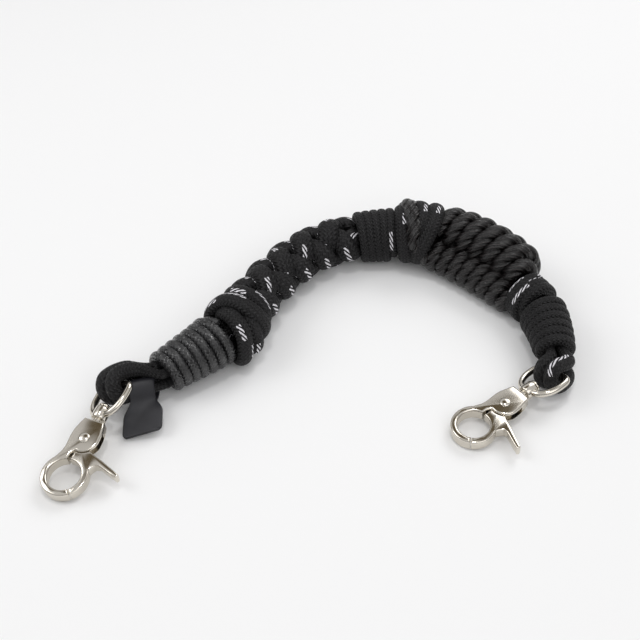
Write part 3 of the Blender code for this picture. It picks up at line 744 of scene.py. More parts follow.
# ------------------------------------------------------------------------- main cords
@dataclass
class MainCords:
    """The four plain cords that run through the rope and round the eyes."""

    line: CentreLine
    diameter: float = 5.0
    loose: float = 0.2               # how much fuller a cord is where nothing presses it
    packed: float = 0.66             # thickness under a whipping, as a share
    packed_at: float = 2.58
    mouth_at: float = 3.6
    pair_offset: float = 2.4
    cone: float = 4.5                # station of the cone's mouth
    braid: tuple[float, float] = (51.0, 109.0)
    braid_end: float = 128.0
    braid_lead: float = 25.78
    hook_loop: tuple[float, float] = (17.7, 5.0)   # centimetres along: middle, half length
    braid_at: float = 5.5
    braid_swing: float = 2.05
    braid_thick: float = 2.75        # half thickness of a strand in the braid
    braid_wide: float = 4.2          # half width of a strand in the braid
    whipping_end: float = 217.5
    collar: tuple[float, float] = (127.5, 140.0)
    tracer_collar: tuple[float, float] = (182.5, 195.0)
    tag_hold: tuple[float, float, float] = (-59.8, -42.5, 7.3)
    tag_way: tuple[float, float, float] = (0.85, 0.47, -0.23)
    left_front_over: tuple[tuple[float, float, float], ...] = (
        (-66.6, -41.6, 15.0), (-63.4, -39.6, 14.0), (-60.0, -38.6, 12.4))
    left_back_over: tuple[tuple[float, float, float], ...] = (
        (-70.3, -38.6, 11.6), (-66.5, -35.2, 10.2), (-62.2, -34.2, 9.2))
    left_back_under: tuple[tuple[float, float, float], ...] = (
        (-66.9, -38.0, 4.6), (-62.6, -35.6, 4.6))
    right_core_over: tuple[tuple[float, float, float], ...] = ((80.2, -30.0, 11.0),)
    right_core_under: tuple[tuple[float, float, float], ...] = ((81.8, -29.9, 3.3),)
    right_loop_over: tuple[tuple[float, float, float], ...] = ((85.6, -32.4, 11.0),)
    right_loop_under: tuple[tuple[float, float, float], ...] = ((86.6, -32.2, 3.5),)

    def braid_leg(self, angle: float, way: int) -> tuple[Array, Array, Array, Array]:
        """One strand from the cone's mouth to the collar.

        It runs round the rope at a steady rate and moves out and in twice a turn, so
        that four strands pass over and under each other as a round braid.

        Args:
            angle: where it starts round the rope, in radians.
            way: 1 or -1, the way it runs round.

        Returns:
            Path, half thickness, half width and outward directions.
        """
        start, end = self.braid
        s = np.concatenate((np.arange(self.cone + 1, start - 6.5, 2.0),
                            np.arange(start - 6.5, end + 5, 1.0),
                            np.arange(end + 5, self.braid_end, 2.0)))
        wave = 2 * math.pi * (np.clip(s, start, end) - start) / self.braid_lead
        inside = ease((s - start + 3) / 4) * ease((end + 3 - s) / 4)
        swing = self.braid_swing * way * np.sin(2 * wave)
        held = mix(self.mouth_at, self.packed_at, ease((s - self.cone) / 12))
        turned = angle + way * wave
        radius = mix(held, self.braid_at + swing, inside)
        thin = self.packed * self.diameter / 2
        return (self.line.point(s, turned, radius), mix(thin, self.braid_thick, inside),
                mix(thin, self.braid_wide, inside), self.line.outward(s, turned))

    def thickening(self, points: Array, reach: float) -> Array:
        """Half thickness from a held start to the full cord at distance reach."""
        far = np.linalg.norm(points - points[0], axis=1)
        return mix(self.packed, 1.0, ease((far - 2.0) / reach)) * self.diameter / 2

    def joined(self, upper: tuple, turn: Array, lower: tuple, over: Array, under: Array,
               reach: float) -> tuple[Array, Array, Array, Array]:
        """Upper leg, fold round the eye and lower leg as one path with its sizes.

        Args:
            upper: the leg above: path, half thickness, half width, outward directions.
            turn: points of the fold round the eye's bar.
            lower: the leg below, like upper.
            over: points between the upper leg and the fold.
            under: points between the fold and the lower leg.
            reach: how far from a leg the cord takes to fill out.

        Returns:
            Path, half thickness, half width and outward directions.
        """
        ends = catmull_rom(np.vstack((upper[0][1::-1], over[::-1], turn[:2])), 6)[6:-6]
        back = catmull_rom(np.vstack((turn[-2:], under, lower[0][:2])), 6)[6:-6]
        ends_r = self.thickening(ends, reach)
        back_r = self.thickening(back[::-1], reach)[::-1]
        full = np.full(len(turn) - 2, self.diameter / 2)
        upward = np.tile((0.0, 0.0, 1.0), (len(ends) + len(full) + len(back), 1))
        path = np.vstack((upper[0][:0:-1], ends, turn[1:-1], back, lower[0][1:]))
        thick = np.concatenate((upper[1][:0:-1], ends_r, full, back_r, lower[1][1:]))
        wide = np.concatenate((upper[2][:0:-1], ends_r, full, back_r, lower[2][1:]))
        out = np.vstack((upper[3][:0:-1], upward, lower[3][1:]))
        return path, thick, wide, out

    def left(self, front: bool) -> tuple[Array, Array, Array, Array]:
        """A cord folded round the left eye."""
        sign = 1 if front else -1
        corner = math.radians(45.0) * sign
        upper = self.braid_leg(corner, sign)
        lower = self.braid_leg(math.pi - corner, -sign)
        turn = HOOKS[Side.LEFT].bight(self.pair_offset * sign)
        if front:
            way = unit(np.array(self.tag_way))
            under = np.array(self.tag_hold) + way * np.array((-3.3, 0.0, 3.3))[:, None]
            over = np.array(self.left_front_over)
        else:
            over, under = np.array(self.left_back_over), np.array(self.left_back_under)
        return self.joined(upper, turn, lower, over - ORIGIN, under - ORIGIN, 8.0)

    def held_leg(self, angle: float, stations: Array) -> tuple[Array, Array, Array, Array]:
        """A leg that runs straight under the whippings."""
        thin = np.full(len(stations), self.packed * self.diameter / 2)
        a = np.full(len(stations), angle)
        return (self.line.point(stations, a, self.packed_at), thin, thin,
                self.line.outward(stations, a))

    def core_leg(self, angle: float, way: int, pair: SatinPair) -> tuple[Array, ...]:
        """A leg that runs on inside one satin winding."""
        s = np.arange(self.whipping_end - 1.5, self.collar[0] + 4.0, -1.4)
        turned = ease((self.tracer_collar[1] - 4.5 - s) / 6.5)
        spread = ease((self.tracer_collar[0] + 0.9 - s) / 4) * ease((s - self.collar[1] + 0.9) / 4)
        a = mix(angle, pair.tilt - way * math.pi / 2, turned)
        radius = mix(self.packed_at, pair.reach(s, way), spread)
        thin = mix(self.packed, 0.54, ease((self.tracer_collar[0] + 5 - s) / 4))
        thin = thin * self.diameter / 2
        return self.line.point(s, a, radius), thin, thin, self.line.outward(s, a)

    def right(self, core: bool, pair: SatinPair) -> tuple[Array, Array, Array, Array]:
        """A cord folded round the right eye."""
        corner = math.radians(45.0)
        if core:
            upper, lower = self.core_leg(corner, 1, pair), self.core_leg(math.pi - corner, -1, pair)
            over, under = self.right_core_over, self.right_core_under
        else:
            stations = self.whipping_end - 1.5 - 2.5 * np.arange(11)
            upper, lower = self.held_leg(-corner, stations), self.held_leg(math.pi + corner, stations)
            over, under = self.right_loop_over, self.right_loop_under
        turn = HOOKS[Side.RIGHT].bight(self.pair_offset * (-1 if core else 1))
        return self.joined(upper, turn, lower, np.array(over) - ORIGIN,
                           np.array(under) - ORIGIN, 6.0)

    def build(self, pair: SatinPair) -> None:
        """Make the four cords."""
        jobs = (
            ("left_front_braid_cord", self.left(True), "left_cord_front",
             (TracerLine(0.96, 0.0, 1.55, 0.85, 0.25, bare=self.hook_loop),
              TracerLine(0.7, 0.0, 1.55, 0.7, 1.0, bare=self.hook_loop))),
            ("left_back_braid_cord", self.left(False), "left_cord_back",
             (TracerLine(0.04, 0.0, 1.55, 0.85, 1.0, bare=self.hook_loop),
              TracerLine(0.3, 0.0, 1.55, 0.7, 0.3, bare=self.hook_loop),
              TracerLine(0.06, 0.0, 36.0, 0.7, 14.9))),
            ("right_core_braid_cord", self.right(True, pair), "right_core_cord",
             (TracerLine(0.06, 0.0, 2.6, 0.7, 0.4),)),
            ("right_loop_braid_cord", self.right(False, pair), "right_loop_cord",
             (TracerLine(0.04, 0.0, 3.2, 0.9, 0.2),)),
        )
        for name, (path, thick, wide, out), node, tracers in jobs:
            path, *sizes = evenly(path, 1.4, thick, wide, *out.T)
            smooth = catmull_rom(path, 3)
            sizes = catmull_rom(np.stack(sizes, axis=1), 3)
            even, t, w, x, y, z = evenly(smooth, 0.7, *sizes.T)
            loose = self.loose * ease((t / (self.diameter / 2) - 0.95) / 0.05) * (w - t < 0.1)
            t, w = t + loose, w + loose
            finish = BraidedSheath(name=f"sheath_{name}", tracers=tracers).make()
            patch = sweep(even, t, w, unit(np.stack((x, y, z), axis=1)))
            piece = make_piece(name, [patch], finish, "rope", (node,))


# --------------------------------------------------------------------------- windings
@dataclass
class Winding:
    """One cord wound round the rope as a tight spiral."""

    name: str
    stations: tuple[float, float]
    crest: tuple[float, float]       # outer radius at the start and at the end
    turns: float
    node: str
    finish: bpy.types.Material
    thick: float = 1.9               # half thickness of the cord
    square: float = 2.7              # how flat the turns are pressed
    start_angle: float = 180.0
    tuck: float = 2.2                # how far each end dives under the turns

    def build(self, line: CentreLine, slot: str) -> None:
        """Wind the cord: the angle grows with the turn count and the station follows it.

        Args:
            line: the rope's centre line.
            slot: the material slot of the record; not used.
        """
        start, end = self.stations
        pitch = (end - start) / (self.turns + 0.15)
        lead = pitch / 2
        share = np.linspace(0, 1, int(self.turns * 64) + 1)
        s = mix(start + lead, end - lead, share)
        a = math.radians(self.start_angle) + 2 * math.pi * self.turns * share
        crest = mix(self.crest[0], self.crest[1], share)
        into = ease(share * self.turns / 0.35) * ease((1 - share) * self.turns / 0.35)
        radius = crest - self.thick - self.tuck * (1 - into)
        path = line.point(s, a, radius)
        out = line.outward(s, a)
        even, r, x, y, z = evenly(path, 0.75, into, *out.T)
        wide = np.full(len(even), pitch / 2 + 0.06)
        patch = sweep(even, self.thick, wide, unit(np.stack((x, y, z), axis=1)),
                      square=self.square)
        make_piece(self.name, [patch], self.finish, "rope", (self.node,))


# ----------------------------------------------------------------------- satin cords
def plied(centre: Array, side: Array, across: Array, lead: float,
          ply: tuple[float, float, float]) -> list[Patch]:
    """Three plies twisted together round a centre line.

    Args:
        centre: (n, 3) centre line of the cord.
        side: (n, 3) directions square to it.
        across: (n, 3) directions square to both.
        lead: length in which a ply makes one turn.
        ply: distance of a ply from the centre, its half thickness and half width.

    Returns:
        One patch for each ply.
    """
    turn = 2 * math.pi * lengths_along(centre) / lead
    patches = []
    for index in range(3):
        f = (turn + index * 2 * math.pi / 3)[:, None]
        way_out = side * np.cos(f) + across * np.sin(f)
        patches.append(sweep(centre + way_out * ply[0], ply[1], ply[2], way_out, sides=14))
    return patches


@dataclass
class SatinPair:
    """Two fat windings of satin twisted cord, side by side and leaning on each other."""

    line: CentreLine
    tilt: float = math.radians(33.0)
    outer: tuple[float, float] = (138.5, 184.0)
    inner: tuple[float, float] = (135.5, 187.0)
    outer_reach: tuple[float, float] = (4.9, 6.5)
    inner_reach: tuple[float, float] = (3.6, 5.8)
    outer_crest: tuple[float, float] = (8.2, 9.7)
    inner_crest: tuple[float, float] = (6.2, 7.1)
    dive: float = 4.5                # how far each end goes in under its neighbours

    def swell(self, s: Array, stations: tuple[float, float]) -> Array:
        """0 at the ends and 1 in the middle, filling out quickly."""
        start, end = stations
        t = np.clip((s - start) / (end - start), 0, 1)
        return np.sin(math.pi * t) ** 0.45

    def reach(self, s: Array, way: int) -> Array:
        """Distance of a winding's axis from the centre line."""
        low, high = self.outer_reach if way > 0 else self.inner_reach
        return mix(low, high, self.swell(s, self.outer if way > 0 else self.inner))

    def wound(self, way: int, lead: float, phase: float, cord_r: float,
              ply_lead: float) -> list[Patch]:
        """Three plies of one satin cord wound about one axis of the pair.

        The cord's centre runs round the axis at crest - cord_r.

        Args:
            way: 1 for the outer winding, -1 for the inner one.
            lead: distance along the rope for one turn.
            phase: where it starts, in radians.
            cord_r: radius of the satin cord.
            ply_lead: length of cord in which its plies make one turn.
        """
        start, end = stations = self.outer if way > 0 else self.inner
        s = np.linspace(start + cord_r * 0.6, end - cord_r * 0.6, 900)
        crest = mix(*(self.outer_crest if way > 0 else self.inner_crest), self.swell(s, stations))
        a = phase - 2 * math.pi * (s - start) / lead
        axis_angle = np.full(len(s), self.tilt - way * math.pi / 2)
        axis = self.line.point(s, axis_angle, self.reach(s, way))
        out = self.line.outward(s, a)
        held = ease((s - s[0]) / 3.5) * ease((s[-1] - s) / 3.5)
        radius = np.maximum(crest - cord_r - self.dive * (1 - held), 0.4)
        centre, x, y, z = evenly(axis + out * radius[:, None], 0.55, *out.T)
        out = unit(np.stack((x, y, z), axis=1))
        along = unit(np.gradient(centre, axis=0))
        side = unit(out - along * (out * along).sum(1, keepdims=True))
        return plied(centre, side, np.cross(along, side), ply_lead,
                     (cord_r * 0.52, cord_r * 0.5, cord_r * 0.62))

    def build(self) -> None:
        """Wind both bundles."""
        finish = SatinPly().make()
        outer = [patch for phase in (0.4, 0.4 + math.pi)
                 for patch in self.wound(1, 11.8, phase, 3.1, 15.0)]
        make_piece("outer_satin_cord", outer, finish, "rope",
                   ("outer_satin_winding",))
        make_piece("inner_satin_cord", self.wound(-1, 5.3, 0.9, 2.65, 13.0), finish, "rope",
                   ("inner_satin_winding",))


# ------------------------------------------------------------------ laid-out strands
@dataclass
class Strand:
    """One strand laid over the rope, from stations, angles and heights."""

    name: str
    knots: tuple[tuple[float, float, float], ...]   # station, degrees, centre's height
    thick: float = 2.3
    wide: float = 2.8

    def patch(self, line: CentreLine) -> Patch:
        """Smooth curve through the knots, in station, angle and height."""
        s, a, r = catmull_rom(np.array(self.knots), 14).T
        path = line.point(s, np.radians(a), r)
        out = line.outward(s, np.radians(a))
        even, x, y, z = evenly(path, 0.7, *out.T)
        return sweep(even, self.thick, self.wide, unit(np.stack((x, y, z), axis=1)))


@dataclass
class StopperKnot:
    """The big knot after the cone: cords side by side, worked over and under."""

    line: CentreLine
    strands: tuple[Strand, ...] = (
        Strand("knot_arch_cord", (
            (40.0, -150, 5.5), (37.0, -100, 7.6), (37.5, -62, 8.7), (40.0, -30, 9.3),
            (41.0, 3, 9.6), (41.2, 30, 9.7), (42.2, 60, 9.8), (43.6, 90, 9.8),
            (43.4, 118, 9.4), (41.5, 150, 7.9), (39.5, 185, 7.3), (38.0, 222, 6.2)), 2.5, 3.3),
        Strand("knot_upper_cord", (
            (50.5, -115, 5.2), (50.0, -78, 7.0), (48.0, -42, 8.0), (47.2, -5, 8.3),
            (47.3, 22, 8.3), (47.2, 46, 8.4), (46.9, 72, 8.5), (47.0, 100, 8.1),
            (46.5, 140, 7.0), (45.0, 180, 6.4), (43.0, 215, 6.0)), 2.4, 3.1),
        Strand("knot_front_cord", (
            (38.0, -40, 5.4), (37.2, -10, 6.6), (36.2, 20, 8.0), (35.3, 45, 9.2), (34.4, 68, 10.2),
            (33.2, 92, 11.0), (32.6, 114, 11.6), (33.6, 138, 9.8), (36.0, 168, 7.4),
            (38.5, 205, 6.4)), 2.5, 3.2),
        Strand("knot_lower_cord", (
            (41.0, 30, 6.4), (39.6, 56, 8.6), (38.6, 78, 10.0), (38.2, 100, 11.2),
            (38.6, 122, 11.3), (40.4, 148, 8.4), (42.5, 180, 6.8), (44.0, 215, 6.0)), 2.3, 2.9),
    )

    def build(self) -> None:
        """Lay its strands."""
        tracers = (TracerLine(0.9, 0.0, 3.4, 0.7, 1.9), TracerLine(0.1, 0.0, 4.1, 0.5, 1.2))
        finish = BraidedSheath(name="sheath_knot", tracers=tracers).make()
        for index, strand in enumerate(self.strands):
            make_piece(strand.name, [strand.patch(self.line)], finish, "rope",
                       ("stopper_knot",) if index == 0 else ())


@dataclass
class LoopCollar:
    """The collar after the wraps: cords crossing, with one satin cord among them."""

    line: CentreLine
    strands: tuple[Strand, ...] = (
        Strand("collar_left_cord", (
            (129.0, -130, 6.5), (128.8, -80, 8.6), (128.8, -40, 9.6), (129.0, -5, 10.0),
            (129.5, 30, 10.1), (130.2, 58, 10.1), (131.0, 84, 10.0), (131.3, 112, 9.6),
            (131.0, 150, 8.2), (131.0, 190, 7.6)), 2.3, 3.1),
        Strand("collar_arch_cord", (
            (131.0, -130, 7.0), (132.0, -80, 10.0), (133.5, -50, 11.3), (135.2, -28, 11.6),
            (136.8, -2, 11.4), (137.8, 24, 11.0), (137.4, 48, 10.5), (135.6, 74, 9.6),
            (134.2, 104, 9.0), (134.0, 145, 8.0), (134.5, 190, 7.4)), 2.3, 3.0),
        Strand("collar_right_cord", (
            (136.5, -130, 7.5), (137.6, -84, 10.6), (138.8, -50, 11.7), (140.2, -24, 11.7),
            (141.6, 2, 11.4), (142.3, 28, 11.2), (141.6, 54, 10.9), (139.6, 80, 10.5),
            (137.6, 108, 9.6), (136.5, 145, 8.2), (136.5, 190, 7.5)), 2.4, 3.2),
    )
    satin: tuple[tuple[float, float, float], ...] = (
        (128.8, -100, 8.6), (129.8, -60, 10.4), (131.2, -25, 11.2), (133.2, 12, 11.3),
        (134.9, 38, 11.0), (136.2, 62, 10.6), (138.4, 84, 9.2), (141.0, 104, 8.8),
        (143.0, 130, 7.4))

    def build(self) -> None:
        """Lay its strands and the satin cord between them."""
        tracers = (TracerLine(0.5, 0.0, 2.4, 0.4, 1.0), TracerLine(0.95, 0.0, 3.0, 0.4, 2.2))
        finish = BraidedSheath(name="sheath_collar", tracers=tracers).make()
        for index, strand in enumerate(self.strands):
            make_piece(strand.name, [strand.patch(self.line)], finish, "rope",
                       ("loop_collar",) if index == 0 else ())
        s, a, r = catmull_rom(np.array(self.satin), 20).T
        centre = evenly(self.line.point(s, np.radians(a), r), 0.5)[0]
        _, side, across = transport(centre)
        plies = plied(centre, side, across, 17.0, (1.7, 1.7, 2.1))
        make_piece("collar_satin_cord", plies, SatinPly(name="satin_ply_collar").make(),
                   "rope")


# -------------------------------------------------------------------------- hooks
def arc(radius: float, start: float, end: float, steps: int,
        centre: tuple[float, float] = (0.0, 0.0)) -> Array:
    """Points of an arc in the (u, v) plane, angles in degrees from +u."""
    a = np.radians(np.linspace(start, end, steps + 1))
    return np.stack((centre[0] + radius * np.cos(a), centre[1] + radius * np.sin(a)), axis=1)


@dataclass
class TriggerHook:
    """Swivelling trigger hook: body, gate, rivet, post and D eye."""

    place: HookPlace
    nickel: bpy.types.Material
    steel: bpy.types.Material
    ring_outer: float = 7.8
    ring_inner: float = 5.5
    half: float = 2.2                # half thickness of the body
    slot_half: float = 1.3
    gate_half: float = 1.9
    rivet: tuple[float, float] = (0.0, 14.0)
    plate_r: float = 5.1
    plate_end: float = 21.2
    gap: float = -50.0               # where nose and gate meet, degrees about the ring

    def build(self) -> None:
        """Make every piece of the hook."""
        side = self.place.side.value
        at = self.place.matrix()
        jobs = (("body_casting", self.body(), "hook", "hook_body", at, 28.0),
                ("gate_casting", self.gate(), "gate", "gate", at, 28.0),
                ("rivet_head", self.rivet_pin(), "hook", "rivet", at, 50.0),
                ("post_turned", self.post(), "hook", "swivel_post", at, 50.0),
                ("eye_casting", self.eye(), "eye", "swivel_eye", self.place.eye_matrix(), 50.0))
        for name, patches, body, node, place, sharp in jobs:
            make_piece(f"{side}_{name}", patches, self.nickel, f"{side}_{body}",
                       (f"{side}_{node}",), place, sharp)
        spring = bpy.data.objects.get(f"{side}_gate_spring")
        for slot in spring.material_slots:
            slot.material = self.steel

    def outline(self, slotted: bool) -> Array:
        """The body seen from above: half a ring, its nose and the plate.

        Args:
            slotted: leave out the slot that the gate moves in.

        Returns:
            (n, 2) points, anticlockwise.
        """
        outer = arc(self.ring_outer, self.gap, -220.0, 60)
        shoulder = [(-5.0, 7.7), (-4.75, 9.6), (-4.9, 11.6), (-5.1, 13.6), (-5.0, 16.2),
                    (-4.3, 19.2), (-3.6, self.plate_end), (3.6, self.plate_end)]
        inner = arc(self.ring_inner, -253.0, self.gap, 60)
        if slotted:
            slot = [(4.5, 17.6), (1.4, 17.8), (-3.9, 17.8), (-3.9, 10.4), (-1.6, 8.4)]
            ring = np.vstack((outer, shoulder, [(4.3, 19.2)], slot, inner))
        else:
            lower = arc(self.plate_r, 0.0, -100.0, 30, self.rivet)
            ring = np.vstack((outer, shoulder, [(4.3, 19.2), (4.9, 16.5)], lower,
                              [(-1.6, 7.6)], inner))
        return ring[::-1]

    def body(self) -> list[Patch]:
        """Two full layers with the slotted layer between them."""
        whole, slotted = self.outline(False), self.outline(True)
        edge = 0.72
        return [rounded_plate(whole, self.slot_half, self.half, (0.0, edge)),
                rounded_plate(slotted, -self.slot_half - 0.01, self.slot_half + 0.01, (0.0, 0.0)),
                rounded_plate(whole, -self.half, -self.slot_half, (edge, 0.0))]

    def gate(self) -> list[Patch]:
        """Half ring and thumb lever, with the tongue that runs in to the rivet."""
        clear = self.plate_r + 0.3
        start = self.gap + 2.2
        ring = np.vstack((arc(self.ring_inner, start, 98.0, 50),
                          arc(clear, -98.0, -42.0, 14, self.rivet),
                          [(5.6, 9.6), (9.5, 8.4), (14.2, 6.6), (16.5, 5.7), (16.8, 4.9),
                           (16.3, 4.2), (14.0, 4.8), (9.4, 6.3), (8.0, 6.0), (7.2, 4.6)],
                          arc(self.ring_outer, 28.0, start, 30)))
        tongue = np.vstack(([(-0.95, 7.0), (-1.1, 9.3)],
                            arc(2.5, -140.0, -200.0, 8, self.rivet),
                            [(-1.2, 17.4), (1.0, 17.4)],
                            arc(2.9, 30.0, -10.0, 8, self.rivet), [(3.6, 10.2), (4.0, 7.4)]))
        return [rounded_plate(ring[::-1] if self.turns_back(ring) else ring,
                              -self.gate_half, self.gate_half, (0.5, 0.5)),
                rounded_plate(tongue[::-1] if self.turns_back(tongue) else tongue,
                              -1.15, 1.15, (0.0, 0.0))]

    @staticmethod
    def turns_back(outline: Array) -> bool:
        """Whether an outline runs clockwise, by the sign of its area."""
        x, y = outline.T
        return float((x * np.roll(y, -1) - y * np.roll(x, -1)).sum()) < 0

    def rivet_pin(self) -> list[Patch]:
        """Pin through both cheeks with a domed head at each end."""
        face = self.half + 0.05
        a = np.radians(np.linspace(90, 0, 9))
        dome = np.stack((1.9 * np.cos(a), face + 0.62 * np.sin(a)), axis=1)
        profile = np.vstack((dome, [(1.0, face)], [(1.0, -face)], (dome * (1, -1))[::-1]))
        patch = lathe(profile)
        upright = patch.grid[..., (0, 2, 1)] * (1, -1, 1)
        patch.grid = upright + (self.rivet[0], self.rivet[1], 0.0)
        return [patch]

    def post(self) -> list[Patch]:
        """Swivel post: neck, shank and domed head inside the eye."""
        a = np.radians(np.linspace(0, 90, 9))
        head = np.stack((2.3 * np.cos(a), 27.5 + 1.2 * np.sin(a)), axis=1)
        profile = np.vstack(([(0.0, 18.5), (1.5, 18.5), (1.5, 27.15), (2.2, 27.18),
                              (2.3, 27.3)], head))
        return [lathe(profile)]

    def eye(self) -> list[Patch]:
        """Barrel and the D of round wire, its far side straight."""
        low, high, r = 22.4, 27.0, 2.7
        barrel = lathe(np.array([(1.62, low), (r - 0.5, low), (r - 0.15, low + 0.12),
                                 (r, low + 0.5), (r, high - 0.5), (r - 0.15, high - 0.12),
                                 (r - 0.5, high), (1.62, high), (1.62, low)]))
        barrel = Patch(barrel.grid[:-1], barrel.along[:-1], poles=False)
        middle, bar = (low + high) / 2, self.place.bar
        half = [(2.0, middle), (4.3, middle + 0.7), (6.2, middle + 2.8),
                (7.2, middle + 5.8), (7.2, bar - 2.6), (6.5, bar - 0.7), (4.6, bar),
                (2.3, bar), (0.0, bar)]
        outline = np.array(half[:-1] + [(-u, v) for u, v in reversed(half)])
        path = catmull_rom(np.c_[outline, np.zeros(len(outline))], 8)
        return [barrel, sweep(evenly(path, 0.5)[0], 1.2, sides=20)]


# ----------------------------------------------------------------------- leather tag
@dataclass
class LeatherTag:
    """A strip of leather folded round one loop cord, its two layers lying together."""

    hold: tuple[float, float, float] = (-59.8, -42.5, 7.3)
    cord_way: tuple[float, float, float] = (0.85, 0.47, -0.23)
    flap_way: tuple[float, float, float] = (0.95, 0.2, 0.18)
    down: tuple[float, float, float] = (0.03, -0.935, -0.28)
    length: float = 16.5
    width: float = 13.4
    neck: float = 9.0
    thick: float = 0.9

    def build(self, leather: bpy.types.Material) -> None:
        """Carry the strip's section round the fold, wider towards its end."""
        cord_way, flap, down = (unit(np.array(v)) for v in (self.cord_way, self.flap_way, self.down))
        lift = unit(np.cross(down, flap))
        lift = lift if lift[2] > 0 else -lift
        middle = 3.2 + self.thick / 2
        gap = self.thick / 2 + 0.1
        profile = [(self.length, gap), (14.0, gap), (11.0, gap), (7.0, gap + 0.2), (4.6, 1.15)]
        turn = np.radians((50, 80, 110, 145, 180, 215, 250, 280, 310))
        loop = [(middle * math.cos(a), middle * math.sin(a)) for a in turn]
        path = catmull_rom(np.array(profile + loop + [(x, -y) for x, y in profile[::-1]]), 5)
        open_out = ease((path[:, 0] - 4.0) / 6.0)[:, None]
        corner = np.clip((path[:, :1] - self.length + 1.5) / 1.5, 0, 1)
        trim = 1 - 0.13 * (1 - np.sqrt(1 - corner**2))
        wide = unit(mix(cord_way, flap, open_out)) * mix(self.neck, self.width, open_out) / 2 * trim
        ahead = unit(np.gradient(path, axis=0))
        out2 = np.stack((ahead[:, 1], -ahead[:, 0]), axis=1)
        centre = np.array(self.hold) - ORIGIN + path[:, :1] * down + path[:, 1:] * lift
        out = out2[:, :1] * down + out2[:, 1:] * lift
        f = np.linspace(0, 2 * math.pi, 40, endpoint=False)
        c, s = np.cos(f), np.sin(f)
        across = np.sign(c) * np.abs(c) ** 0.16
        through = np.sign(s) * np.abs(s) ** 0.5
        grid = (centre[:, None, :] + wide[:, None, :] * across[None, :, None]
                + out[:, None, :] * (through * self.thick / 2)[None, :, None])
        at = lengths_along(centre) / 10
        patch = Patch(grid, at, poles=False)
        make_piece("folded_tag", [patch], leather, "tag", ("leather_tag",),
                   sharp=60.0)


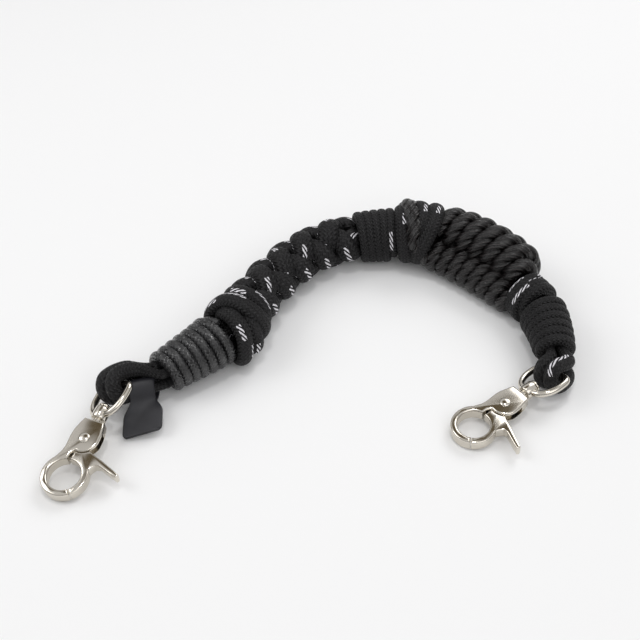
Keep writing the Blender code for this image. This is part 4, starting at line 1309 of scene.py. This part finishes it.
# ---------------------------------------------------------------------------- studio
@dataclass
class Studio:
    """Floor, light and camera."""

    elevation: float = 43.0
    distance: float = 0.4
    focal: float = 60.0
    floor: str = "#f6f6f6"

    def build(self) -> None:
        """Make the floor, the sky of light, the soft lights and the camera."""
        self.make_floor()
        self.make_sky()
        for name, place, size, power in (
                ("back_window", (0.4, 0.5, 0.62), 0.5, 1.85),
                ("side_window", (-0.65, 0.05, 0.6), 0.45, 1.5),
                ("front_wall", (0.3, -0.55, 0.62), 0.6, 1.15),
                ("ceiling_lamp", (-0.03, -0.02, 0.9), 0.12, 0.95)):
            self.make_light(name, place, size, power)
        self.make_camera()
        bpy.context.scene.view_settings.view_transform = "Standard"

    def make_floor(self) -> None:
        """A wide flat matt floor."""
        corners = np.array(((-3, -3, 0), (3, -3, 0), (3, 3, 0), (-3, 3, 0)), float)
        mesh = bpy.data.meshes.new("studio_floor")
        mesh.from_pydata(corners.tolist(), [], [(0, 1, 2, 3)])
        material, _, shader = blank("matt_board")
        dress(shader, {"Base Color": linear(self.floor), "Roughness": 0.9,
                       "Specular IOR Level": 0.1})
        mesh.materials.append(material)
        floor = bpy.data.objects.new("studio_floor", mesh)
        bpy.context.scene.collection.objects.link(floor)

    def make_sky(self) -> None:
        """Pale surroundings, darker at the horizon and warmer overhead, for the metal to show."""
        world = bpy.data.worlds.new("studio_sky")
        bpy.context.scene.world = world
        world.use_nodes = True
        tree = world.node_tree
        back = tree.nodes["Background"]
        place = add_node(tree, "ShaderNodeTexCoord")
        spot = add_node(tree, "ShaderNodeVectorMath", {"operation": "DOT_PRODUCT"}, {
            0: place.outputs["Generated"], 1: (-0.11, 0.45, 0.885)})
        fade = add_node(tree, "ShaderNodeMapRange", links={
            "Value": spot.outputs["Value"], "From Min": 0.955, "From Max": 0.985})
        height = add_node(tree, "ShaderNodeSeparateXYZ", links={0: place.outputs["Generated"]})
        lift = add_node(tree, "ShaderNodeMapRange", links={
            "Value": height.outputs[2], "From Min": 0.1, "From Max": 0.42})
        walls = tinted(tree, lift.outputs[0], linear("#4b463e"), linear("#fafafb"))
        tone = tinted(tree, fade.outputs[0], walls, linear("#74664c"))
        dress(back, {"Color": tone, "Strength": 0.64})

    def make_light(self, name: str, place: tuple[float, float, float], size: float,
                   power: float) -> None:
        """A square soft light aimed at the middle of the rope.

        Args:
            name: the light's name.
            place: its middle, in metres.
            size: its side, in metres.
            power: its power, in watts.
        """
        data = bpy.data.lights.new(name, "AREA")
        data.size, data.energy = size, power
        light = bpy.data.objects.new(name, data)
        z = unit(np.array(place))
        x = unit(np.cross((0.0, 1.0, 0.0), z))
        turn = np.eye(4)
        turn[:3, :3] = np.stack((x, np.cross(z, x), z), axis=1)
        turn[:3, 3] = place
        light.matrix_world = Matrix(turn.tolist())
        bpy.context.scene.collection.objects.link(light)

    def make_camera(self) -> None:
        """A camera looking down at the rope from the front."""
        data = bpy.data.cameras.new("view_camera")
        data.lens, data.sensor_width = self.focal, 36.0
        data.clip_start = 0.01
        camera = bpy.data.objects.new("view_camera", data)
        e = math.radians(self.elevation)
        target = -ORIGIN * MM
        camera.location = (target + self.distance * np.array((0, -math.cos(e), math.sin(e)))).tolist()
        camera.rotation_euler = (math.pi / 2 - e, 0.0, 0.0)
        bpy.context.scene.collection.objects.link(camera)
        bpy.context.scene.camera = camera


# ------------------------------------------------------------------------------ main
def main() -> None:
    """Build the rope and its studio."""
    logging.basicConfig(level=logging.INFO, format="%(message)s")
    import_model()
    Studio().build()
    line = CentreLine()
    pair = SatinPair(line)
    MainCords(line).build(pair)
    waxed = WaxedSheath().make()
    wrap = BraidedSheath(name="sheath_wraps", tracers=(
        TracerLine(0.02, 0.0, 12.4, 0.6, 11.0),)).make()
    collar = BraidedSheath(name="sheath_tracer_collar", tracers=(
        TracerLine(0.98, 0.0, 2.85, 0.75, 0.9, 0.05), TracerLine(0.12, 0.0, 1.9, 0.6, 0.2))).make()
    end = BraidedSheath(name="sheath_end").make()
    Winding("cone_cord", (4.5, 33.5), (7.8, 10.3), 7.6, "cone_whipping", waxed, 2.0, 2.1,
            start_angle=140).build(line, "waxed_cord")
    StopperKnot(line).build()
    Winding("middle_wrap_cord", (109.5, 127.6), (10.0, 10.7), 4.9, "middle_wraps", wrap,
            2.1, start_angle=200).build(line, "braided_cord")
    LoopCollar(line).build()
    pair.build()
    Winding("tracer_collar_cord", (182.5, 195.0), (9.0, 9.4), 2.8, "tracer_collar", collar,
            2.1).build(line, "braided_cord")
    Winding("end_whipping_cord", (195.4, 219.5), (9.3, 7.3), 6.0, "end_whipping", end,
            1.9).build(line, "braided_cord")
    nickel, steel = PolishedNickel().make(), SpringWire().make()
    for place in HOOKS.values():
        TriggerHook(place, nickel, steel).build()
    LeatherTag().build(SmoothLeather().make())


if __name__ == "__main__":
    main()
